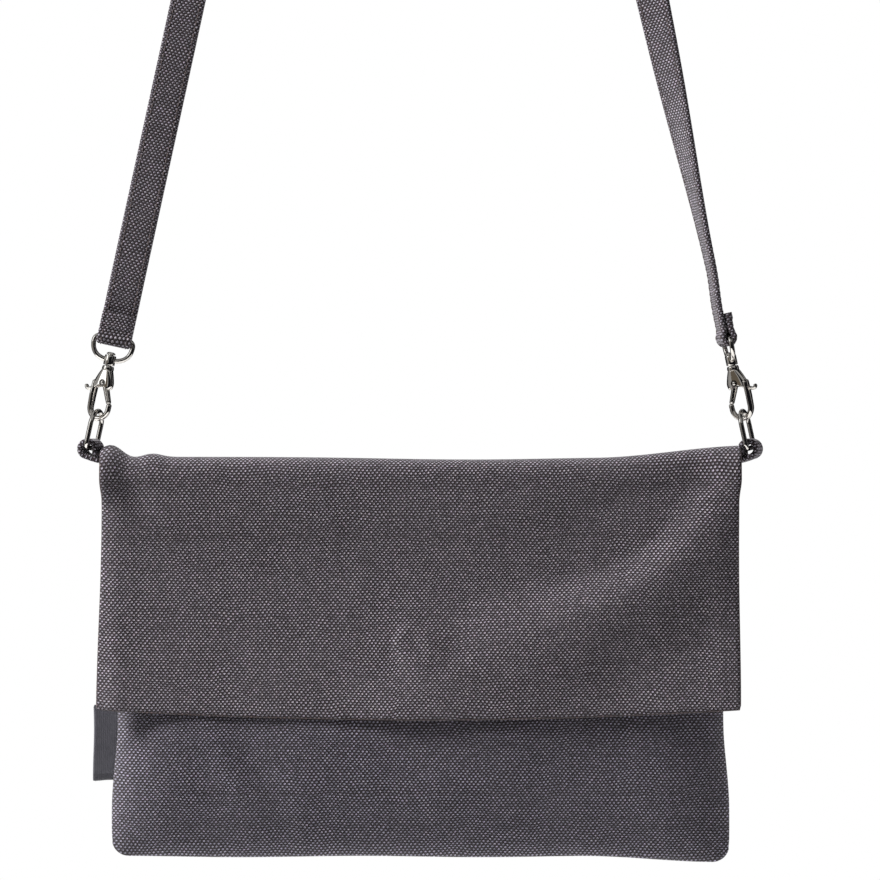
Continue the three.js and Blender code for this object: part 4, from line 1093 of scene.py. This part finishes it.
def make_ribbon():
    material, tree, surface = new_material("plain_ribbon")
    place = cloth_place(tree)
    split = split_xyz(tree, place)
    rib = place_group(tree, even_ribs, {"Distance": split[0], "Pitch": RIB_PITCH})["Height"]
    middle_z = (label_low.z + label_high.z - LABEL_DROP) / 2
    from_middle = calculate(tree, "ABSOLUTE", calculate(tree, "SUBTRACT", split[1], middle_z))
    half = (label_high.z - label_low.z - LABEL_DROP) / 2
    selvedge = calculate(tree, "GREATER_THAN", from_middle, half - SELVEDGE)
    tone = mix_colours(tree, noise(tree, place, 300, 4.0, 0.6)["Fac"], RIBBON_DARK, RIBBON_PALE)
    # The ribs' tops are lightened: painted highlight.
    tone = mix_colours(tree, calculate(tree, "MULTIPLY", rib, 0.35), tone, RIBBON_RIB_HIGHLIGHT)
    tone = mix_colours(tree, calculate(tree, "MULTIPLY", selvedge, 0.5), tone, RIBBON_EDGE)
    tree.links.new(tone, surface["Base Color"])
    tree.links.new(calculate(tree, "MULTIPLY_ADD", rib, -0.2, 0.6), surface["Roughness"])
    surface["Sheen Weight"].default_value = 0.15
    add_bump(tree, surface, calculate(tree, "MULTIPLY_ADD", selvedge, 0.8, rib), 0.4, 0.08 * MM)
    return material


ribbon = make_ribbon()


def label_run():
    out = np.linspace(0, 1, 24)
    down = np.linspace(0, 1, 44)[:, None]
    reach = label_high.x - label_low.x + LABEL_TUCK
    x = label_high.x + LABEL_TUCK - out * reach + 0.25 * MM * np.sin(down * 5)
    top_z = label_high.z - LABEL_DROP
    z = top_z + (label_low.z - 0.4 * LABEL_DROP - top_z) * down + 0.3 * MM * np.sin(out * 4)
    bow = -LABEL_BOW * out**1.6 * (0.7 + 0.6 * np.sin(down * 2.6 + 0.3))
    y = (label_low.y + label_high.y) / 2 + bow
    x, y, z = np.broadcast_arrays(x, y, z)
    middle = np.stack([x, y, z], -1)[:, ::-1]
    return middle, np.stack([middle[..., 0], middle[..., 2]], -1)


run, run_place = label_run()
side_label = make_cloth("side_label_ribbon", run, run_place, LABEL_THICK, [ribbon])
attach(side_label, "bag")
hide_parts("side_label")

# Ring tabs
# A short strip of the canvas, doubled, is looped round the bar of each ring, and its ends are sewn inside the
# end of the fold. The ring draws it round a little.

TAB_STRIP = 2.3 * MM
TAB_LOOP = 3.5 * MM
TAB_SETTLE = 0.4 * MM
TAB_WRAP = (math.radians(-80), math.radians(212))
TAB_ROOT_RISE = 2.4 * MM
TAB_END_IN = 7 * MM
TAB_CLEAR = 0.4 * MM


def tab_run(side, sign):
    bar = joint_places[f"{side}_ring_pivot"]
    low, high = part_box(f"{side}_tab")
    root_x = min(abs(low.x), abs(high.x))
    root_z = low.z + TAB_ROOT_RISE
    round_turn = np.linspace(*TAB_WRAP, 32)
    loop_x = abs(bar.x) + TAB_LOOP * np.cos(round_turn)
    loop_z = bar.z - TAB_SETTLE + TAB_LOOP * np.sin(round_turn)
    lead_in = np.linspace(0, 1, 16)[:-1]
    start_x = root_x + (loop_x[0] - root_x) * lead_in
    start_z = root_z + (loop_z[0] - root_z) * lead_in**3
    back_in = np.linspace(0, 1, 10)[1:]
    end_x = loop_x[-1] + (flap_half - TAB_END_IN - loop_x[-1]) * back_in
    end_z = loop_z[-1] + (root_z + TAB_STRIP + TAB_CLEAR - loop_z[-1]) * (1 - (1 - back_in) ** 2)
    path_x = np.concatenate([start_x, loop_x, end_x])
    path_z = np.concatenate([start_z, loop_z, end_z])
    wide = np.linspace(-1, 1, 15)
    half = (high.y - low.y) / 2 - TAB_CLEAR
    along = length_along(np.stack([path_x, path_z], 1))
    yaw = np.concatenate([ease(lead_in, 0.2, 1), np.ones(len(loop_x)), 1 - ease(back_in, 0, 0.8)]) * RING_YAW
    x = sign * path_x[:, None] + np.sin(yaw)[:, None] * wide * half
    z = np.repeat(path_z[:, None], len(wide), 1)
    y = np.cos(yaw)[:, None] * wide * half
    middle = np.stack([x, y, z], -1)
    place = np.stack(np.broadcast_arrays(wide * half, along[:, None]), -1)
    if sign > 0:
        middle = middle[:, ::-1]
        place = place[:, ::-1]
    return middle, place


for side, sign in (("left", -1), ("right", 1)):
    run, run_place = tab_run(side, sign)
    tab = make_cloth(f"{side}_ring_tab", run, run_place, TAB_STRIP, [canvas])
    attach(tab, "bag")
    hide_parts(f"{side}_tab")

# Strap
# One long strip of the canvas, folded lengthwise and topstitched near both edges. Each end is turned back
# round an eye's bar and sewn down. It hangs from a peg and turns edge-on above the right eye.

STRAP_LENGTH = 1200 * MM
STRAP_HALF = 7.8 * MM
STRAP_THICK = 2.6 * MM
PEG_RADIUS = 13.7 * MM
HEM_LENGTH = 11 * MM
HEM_APART = 1.35 * MM
HEM_FOLD = 3.6 * MM
EYE_LOOP = 2.5 * MM
EYE_WRAP = math.radians(54)
TWIST_ABOVE_RIGHT_EYE = (24 * MM, 225 * MM)
TWIST_BELOW_PEG = (300 * MM, 560 * MM)
STRAP_SETTLES = (90 * MM, 170 * MM)
STRAP_STEP = 4 * MM
STITCH_IN = 2.1 * MM
STITCH_DIP = 0.22 * MM

hang = joint_axes["left_hook_swivel"].normalized()
strap_lean = math.atan2(hang.x, hang.z)
crown_radius = PEG_RADIUS + STRAP_THICK / 2
strap_leg = STRAP_LENGTH / 2 - crown_radius * (math.pi / 2 - strap_lean)


# The strap's middle, its direction and the way its face looks, at a distance along it from the left eye.
def strap_station(along):
    from_left = along < STRAP_LENGTH / 2
    sign = -1 if from_left else 1
    from_eye = along if from_left else STRAP_LENGTH - along
    if from_eye < strap_leg:
        outward = Vector((sign * math.cos(strap_lean), 0, math.sin(strap_lean)))
        tangent = Vector((math.sin(strap_lean), 0, -sign * math.cos(strap_lean)))
        eye = joint_places["left_eye_pivot" if from_left else "right_eye_pivot"]
        point = eye - sign * tangent * from_eye
    else:
        turn = (along - STRAP_LENGTH / 2) / crown_radius
        outward = Vector((math.sin(turn), 0, math.cos(turn)))
        tangent = Vector((math.cos(turn), 0, -math.sin(turn)))
        point = Vector((0, 0, -PEG_RADIUS)) + outward * crown_radius
    quarters = ease(from_eye, *TWIST_BELOW_PEG)
    if not from_left:
        quarters = 1 + ease(from_eye, *TWIST_ABOVE_RIGHT_EYE) - quarters
        quarters += RIGHT_END_YAW / (math.pi / 2) * (1 - ease(from_eye, *STRAP_SETTLES))
    twist = quarters * math.pi / 2
    face = Vector((0, -math.cos(twist), 0)) + outward * math.sin(twist)
    return point, tangent, face


# The turned-back end, as steps away from the eye and towards the face, from its raw end round the bar.
def strap_end():
    closed = 1.6 * EYE_LOOP
    steps = [(HEM_LENGTH - step, HEM_APART) for step in np.linspace(0, HEM_LENGTH - closed, 14)]
    for turn in np.linspace(math.pi / 2 - EYE_WRAP / 2, 1.5 * math.pi + EYE_WRAP / 2, 22)[1:-1]:
        steps.append((EYE_LOOP * math.cos(turn), EYE_LOOP * math.sin(turn)))
    steps += [(step, -HEM_APART) for step in np.linspace(closed, HEM_LENGTH, 8)]
    for step in np.linspace(HEM_LENGTH, 3 * HEM_LENGTH, 10)[1:-1]:
        steps.append((step, -HEM_APART * (1 - ease(step, HEM_LENGTH, 3 * HEM_LENGTH))))
    return steps


# The whole strap's middle points, raw end to raw end, with the way across it and the way out of its face.
def strap_run():
    ends = []
    for along, outward in ((0.0, 1), (STRAP_LENGTH, -1)):
        point, tangent, face = strap_station(along)
        ends.append([(point + tangent * outward * out + face * up, tangent, face) for out, up in strap_end()])
    clear = 3 * HEM_LENGTH
    between_ends = np.arange(clear, STRAP_LENGTH - clear + STRAP_STEP / 2, STRAP_STEP)
    whole = ends[0] + [strap_station(along) for along in between_ends] + ends[1][::-1]
    points, tangents, faces = [np.array(part) for part in zip(*whole)]
    runs = unit(np.gradient(points, axis=0))
    turned_back = len(ends[0])
    tangents[turned_back:-turned_back] = runs[turned_back:-turned_back]
    side = unit(np.cross(tangents, faces))
    return points, side, np.cross(side, runs)


# Faces of a tube through rings of points.
def tube_faces(count, sides):
    number = np.arange(count * sides).reshape(count, sides)
    after = np.roll(number, -1, 1)
    return np.stack([number[:-1], after[:-1], after[1:], number[1:]], -1).reshape(-1, 4)


# The strap's section, going round it: flat faces that dip at the stitch lines, and soft folded edges.
def strap_section():
    corner = STRAP_THICK / 2
    flat = np.linspace(-(STRAP_HALF - corner), STRAP_HALF - corner, 23)
    dip = STITCH_DIP * gauss(STRAP_HALF - np.abs(flat) - STITCH_IN, 0.55 * MM)
    face = [(place, corner - low) for place, low in zip(flat, dip)]
    turn = np.linspace(math.pi / 2, -math.pi / 2, 8)[1:-1]
    edge = [(STRAP_HALF - corner + corner * math.cos(t), corner * math.sin(t)) for t in turn]
    whole = face + edge
    return np.array(whole + [(-a, -b) for a, b in whole])


def make_strap():
    points, side, up = strap_run()
    section = strap_section()
    count = len(section)
    along = length_along(points)
    from_end = np.minimum(along, along[-1] - along)
    hem = (1 - ease(from_end, 0.55 * HEM_LENGTH, 0.8 * HEM_LENGTH))[:, None, None]
    ridge = (1 - ease(from_end, 0.8 * HEM_FOLD, HEM_FOLD))[:, None, None]
    thick = section[None, :, 1:] * (1 + 0.25 * hem + 0.15 * ridge) - (0.32 * hem + 0.25 * ridge) * MM
    rings = points[:, None] + side[:, None] * section[None, :, :1] + up[:, None] * thick
    spots = np.stack(np.broadcast_arrays(length_along(section)[None], along[:, None]), -1).reshape(-1, 2)
    caps = []
    last = (len(points) - 1) * count
    for k in range(count // 2 - 1):
        cap = np.array([k, k + 1, count - 2 - k, count - 1 - k])
        caps += [cap[::-1], cap + last]
    faces = np.concatenate([tube_faces(len(points), count), caps])
    return make_mesh("strap_webbing", rings.reshape(-1, 3), faces, spots, [canvas])


strap = make_strap()
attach(strap, "strap")
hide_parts("strap")

# Strap stitching
# Polyester thread in lockstitch: a row near each edge through the strap, and a row across each turned-back
# end. Each stitch is a short bead of twisted thread that dives into the cloth at its ends.

STITCH_PITCH = 2.9 * MM
STITCH_LENGTH = 2.3 * MM
THREAD_HALF = 0.26 * MM
PLY_PITCH = 0.3 * MM
THREAD_SHADED = srgb(58, 48, 48)
THREAD_LIT = srgb(104, 92, 92)
STITCH_SUNK = 0.1 * MM
END_ROW_IN = 0.9 * MM
END_ROW_MARGIN = 2.4 * MM
END_ROW_SUNK = 0.05 * MM


def make_thread():
    material, tree, surface = new_material("sewing_thread")
    split = split_xyz(tree, object_place(tree))
    slant = calculate(tree, "ADD", calculate(tree, "ADD", split[0], split[1]), split[2])
    ply = place_group(tree, even_ribs, {"Distance": slant, "Pitch": PLY_PITCH})["Height"]
    # The plies are pale on their tops and dark in the grooves between them: painted highlight and painted
    # shade.
    tree.links.new(mix_colours(tree, ply, THREAD_SHADED, THREAD_LIT), surface["Base Color"])
    tree.links.new(calculate(tree, "MULTIPLY_ADD", ply, -0.15, 0.6), surface["Roughness"])
    surface["Sheen Weight"].default_value = 0.2
    add_bump(tree, surface, ply, 0.5, 0.08 * MM)
    return material


# Beads at the given places, each along its run and sunk to the surface whose normal is given. The three rows
# of shares are the bead's rings: where they are along it, how thick they are and how high they stand.
def make_stitches(name, places, runs, normals):
    share = np.array([-1, -0.62, 0, 0.62, 1])
    half = THREAD_HALF * np.array([0.45, 0.9, 1, 0.9, 0.45])
    sink = THREAD_HALF * np.array([-0.9, 0.1, 0.45, 0.1, -0.9])
    sides = 6
    count = len(share) * sides
    turn = np.linspace(0, 2 * math.pi, sides, endpoint=False)
    runs = unit(runs)
    on = np.repeat(share[:, None] * STITCH_LENGTH / 2, sides, 1)
    out = half[:, None] * np.cos(turn)
    up = half[:, None] * np.sin(turn) + sink[:, None]
    on, out, up = [part.reshape(1, -1, 1) for part in (on, out, up)]
    across = np.cross(normals, runs)
    points = places[:, None] + runs[:, None] * on + across[:, None] * out + normals[:, None] * up
    first_lid = np.array([[0, 5, 4, 3], [0, 3, 2, 1]])
    last_lid = np.array([[0, 1, 2, 3], [0, 3, 4, 5]]) + count - sides
    faces = np.concatenate([tube_faces(len(share), sides), first_lid, last_lid])
    faces = (faces[None] + count * np.arange(len(places))[:, None, None]).reshape(-1, 4)
    return make_mesh(name, points.reshape(-1, 3), faces, np.zeros((len(places) * count, 2)), [make_thread()])


def strap_stitches():
    points, side, up = strap_run()
    along = length_along(points)
    stations = np.arange(HEM_FOLD + STITCH_PITCH, along[-1] - HEM_FOLD - STITCH_PITCH, STITCH_PITCH)
    middle, across, over = [values_at(stations, along, values) for values in (points, side, up)]
    run = values_at(stations, along, np.gradient(points, along, axis=0))
    rows = []
    for edge in (-1, 1):
        beside = across * edge * (STRAP_HALF - STITCH_IN)
        for face in (-1, 1):
            place = middle + beside + over * face * (STRAP_THICK / 2 - STITCH_SUNK)
            rows.append((place, run, over * face))
    reach = STRAP_HALF - END_ROW_MARGIN
    columns = np.arange(-reach, reach + 0.1 * MM, STITCH_PITCH * 0.9)[:, None]
    for row in (HEM_FOLD + END_ROW_IN, along[-1] - HEM_FOLD - END_ROW_IN):
        station = int(np.argmin(np.abs(along - row)))
        place = points[station] + side[station] * columns - up[station] * (STRAP_THICK / 2 - END_ROW_SUNK)
        flat = np.ones_like(columns)
        rows.append((place, side[station] * flat, -up[station] * flat))
    return [np.concatenate(part) for part in zip(*rows)]


stitching = make_stitches("strap_stitching", *strap_stitches())
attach(stitching, "strap")

# Studio
# A white sweep all round the hanging bag and a pale floor below it. The key lamp stands high on the left, a
# weak fill in front, and two more light the back and the right. A bright window card on the left, a dusky one
# in front and dark ones elsewhere are seen by reflections alone.

WHITE = (1, 1, 1, 1)
BLACK = (0, 0, 0, 1)
SKY = (0.93, 0.95, 1, 1)
SKY_STRENGTH = 0.045
MIRRORED_SWEEP = 0.4
FLOOR_DROP = 0.19
FLOOR_RADIUS = 0.7
FLOOR_DARK = (0.86, 0.86, 0.86, 1)
FLOOR_PALE = (0.9, 0.9, 0.9, 1)
BAG_MIDDLE = (0, 0, -0.70)
HOOKS_MIDDLE = (0, 0, -0.6)
WINDOW = (2.2, 2.25, 2.3, 1)
DARK = (0.01, 0.01, 0.012, 1)
DUSK = (0.16, 0.135, 0.105, 1)


def make_floor():
    material, tree, surface = new_material("pale_floor")
    tone = noise(tree, object_place(tree), 3.0, 2.0)
    tree.links.new(mix_colours(tree, tone["Fac"], FLOOR_DARK, FLOOR_PALE), surface["Base Color"])
    surface["Roughness"].default_value = 0.9
    turn = np.linspace(0, 2 * math.pi, 49)[:-1]
    z = cad_box[0].z - FLOOR_DROP
    mesh = bpy.data.meshes.new("floor")
    points = [(FLOOR_RADIUS * math.cos(t), FLOOR_RADIUS * math.sin(t), z) for t in turn]
    mesh.from_pydata(points, [], [list(range(len(points)))])
    mesh.materials.append(material)
    add_object("floor", mesh)


def set_facing(thing, place, aim):
    thing.location = place
    thing.rotation_euler = (Vector(aim) - Vector(place)).to_track_quat("-Z", "Y").to_euler()


def add_lamp(name, place, size, power):
    data = bpy.data.lights.new(name, "AREA")
    data.shape = "SQUARE"
    data.size = size
    data.energy = power
    lamp = add_object(name, data)
    lamp.visible_glossy = False
    set_facing(lamp, place, BAG_MIDDLE)


def add_card(name, place, aim, width, height, tone):
    mesh = bpy.data.meshes.new(name)
    corners = [(x * width / 2, y * height / 2, 0) for x, y in ((-1, -1), (1, -1), (1, 1), (-1, 1))]
    mesh.from_pydata(corners, [], [[0, 1, 2, 3]])
    material, _, surface = new_material(name)
    surface["Base Color"].default_value = BLACK
    surface["Roughness"].default_value = 1.0
    surface["Specular IOR Level"].default_value = 0.0
    surface["Emission Color"].default_value = tone
    surface["Emission Strength"].default_value = 1.0
    mesh.materials.append(material)
    card = add_object(name, mesh)
    set_facing(card, place, aim)
    card.visible_camera = False
    card.visible_diffuse = False
    card.visible_shadow = False


def make_world():
    world = bpy.data.worlds.new("studio")
    world.use_nodes = True
    tree = world.node_tree
    light = tree.nodes["Background"]
    light.inputs["Color"].default_value = SKY
    light.inputs["Strength"].default_value = SKY_STRENGTH
    path = tree.nodes.new("ShaderNodeLightPath").outputs
    shown = light.outputs[0]
    for ray, strength in (("Is Glossy Ray", MIRRORED_SWEEP), ("Is Camera Ray", 1.0)):
        sweep = tree.nodes.new("ShaderNodeBackground")
        sweep.inputs["Color"].default_value = WHITE
        sweep.inputs["Strength"].default_value = strength
        both = tree.nodes.new("ShaderNodeMixShader")
        tree.links.new(path[ray], both.inputs[0])
        tree.links.new(shown, both.inputs[1])
        tree.links.new(sweep.outputs[0], both.inputs[2])
        shown = both.outputs[0]
    tree.links.new(shown, tree.nodes["World Output"].inputs[0])
    bpy.context.scene.world = world


make_floor()
make_world()
add_lamp("key", (-2.2, -0.68, 1.4), 0.9, 255)
add_lamp("fill", (0.9, -1.6, -0.6), 1.0, 2.6)
add_lamp("back", (0.7, 2.4, -0.65), 1.4, 55)
add_lamp("right", (2.4, 0.7, -0.5), 1.2, 30)
add_card("dark_card_right", (1.1, -0.5, -0.6), (0.14, 0, -0.6), 1.1, 1.6, DARK)
add_card("dark_card_right_back", (1.0, 0.75, -0.6), HOOKS_MIDDLE, 1.3, 1.4, DARK)
add_card("dark_card_back", (0.0, 1.3, -0.6), HOOKS_MIDDLE, 2.2, 1.4, DARK)
add_card("dark_card_left_back", (-1.4, 0.9, -0.6), HOOKS_MIDDLE, 1.2, 1.6, DARK)
add_card("dusk_card_left_front", (-1.5, -1.55, -0.6), (0, -1.55, -0.6), 1.36, 1.6, DUSK)
add_card("dark_card_front", (0.4, -2.3, -0.75), (0.4, 0, -0.75), 2.8, 2.0, DARK)
add_card("dark_card_top", (0.4, 0.1, 0.5), HOOKS_MIDDLE, 1.7, 1.5, DARK)
add_card("window_card", (-1.3, -0.7, 0.0), HOOKS_MIDDLE, 0.6, 0.8, WINDOW)
add_card("dark_card_below", (0.0, -0.9, -1.15), HOOKS_MIDDLE, 2.4, 0.8, DARK)

# Camera
# It stands level in front of the bag, far off with a long lens, and sees the bag, its hooks and the lower
# part of the strap.

VIEW_WIDTH = 396 * MM
VIEW_CENTRE = Vector((8.8 * MM, 0, -0.6229))
CAMERA_DISTANCE = 2.6
SENSOR_WIDTH = 36

camera_data = bpy.data.cameras.new("camera")
camera_data.sensor_width = SENSOR_WIDTH
camera_data.lens = SENSOR_WIDTH * CAMERA_DISTANCE / VIEW_WIDTH
camera = add_object("camera", camera_data)
camera.location = VIEW_CENTRE + Vector((0, -CAMERA_DISTANCE - fold_high.y, 0))
camera.rotation_euler = (math.pi / 2, 0, 0)
bpy.context.scene.camera = camera
bpy.context.scene.view_settings.view_transform = "Standard"
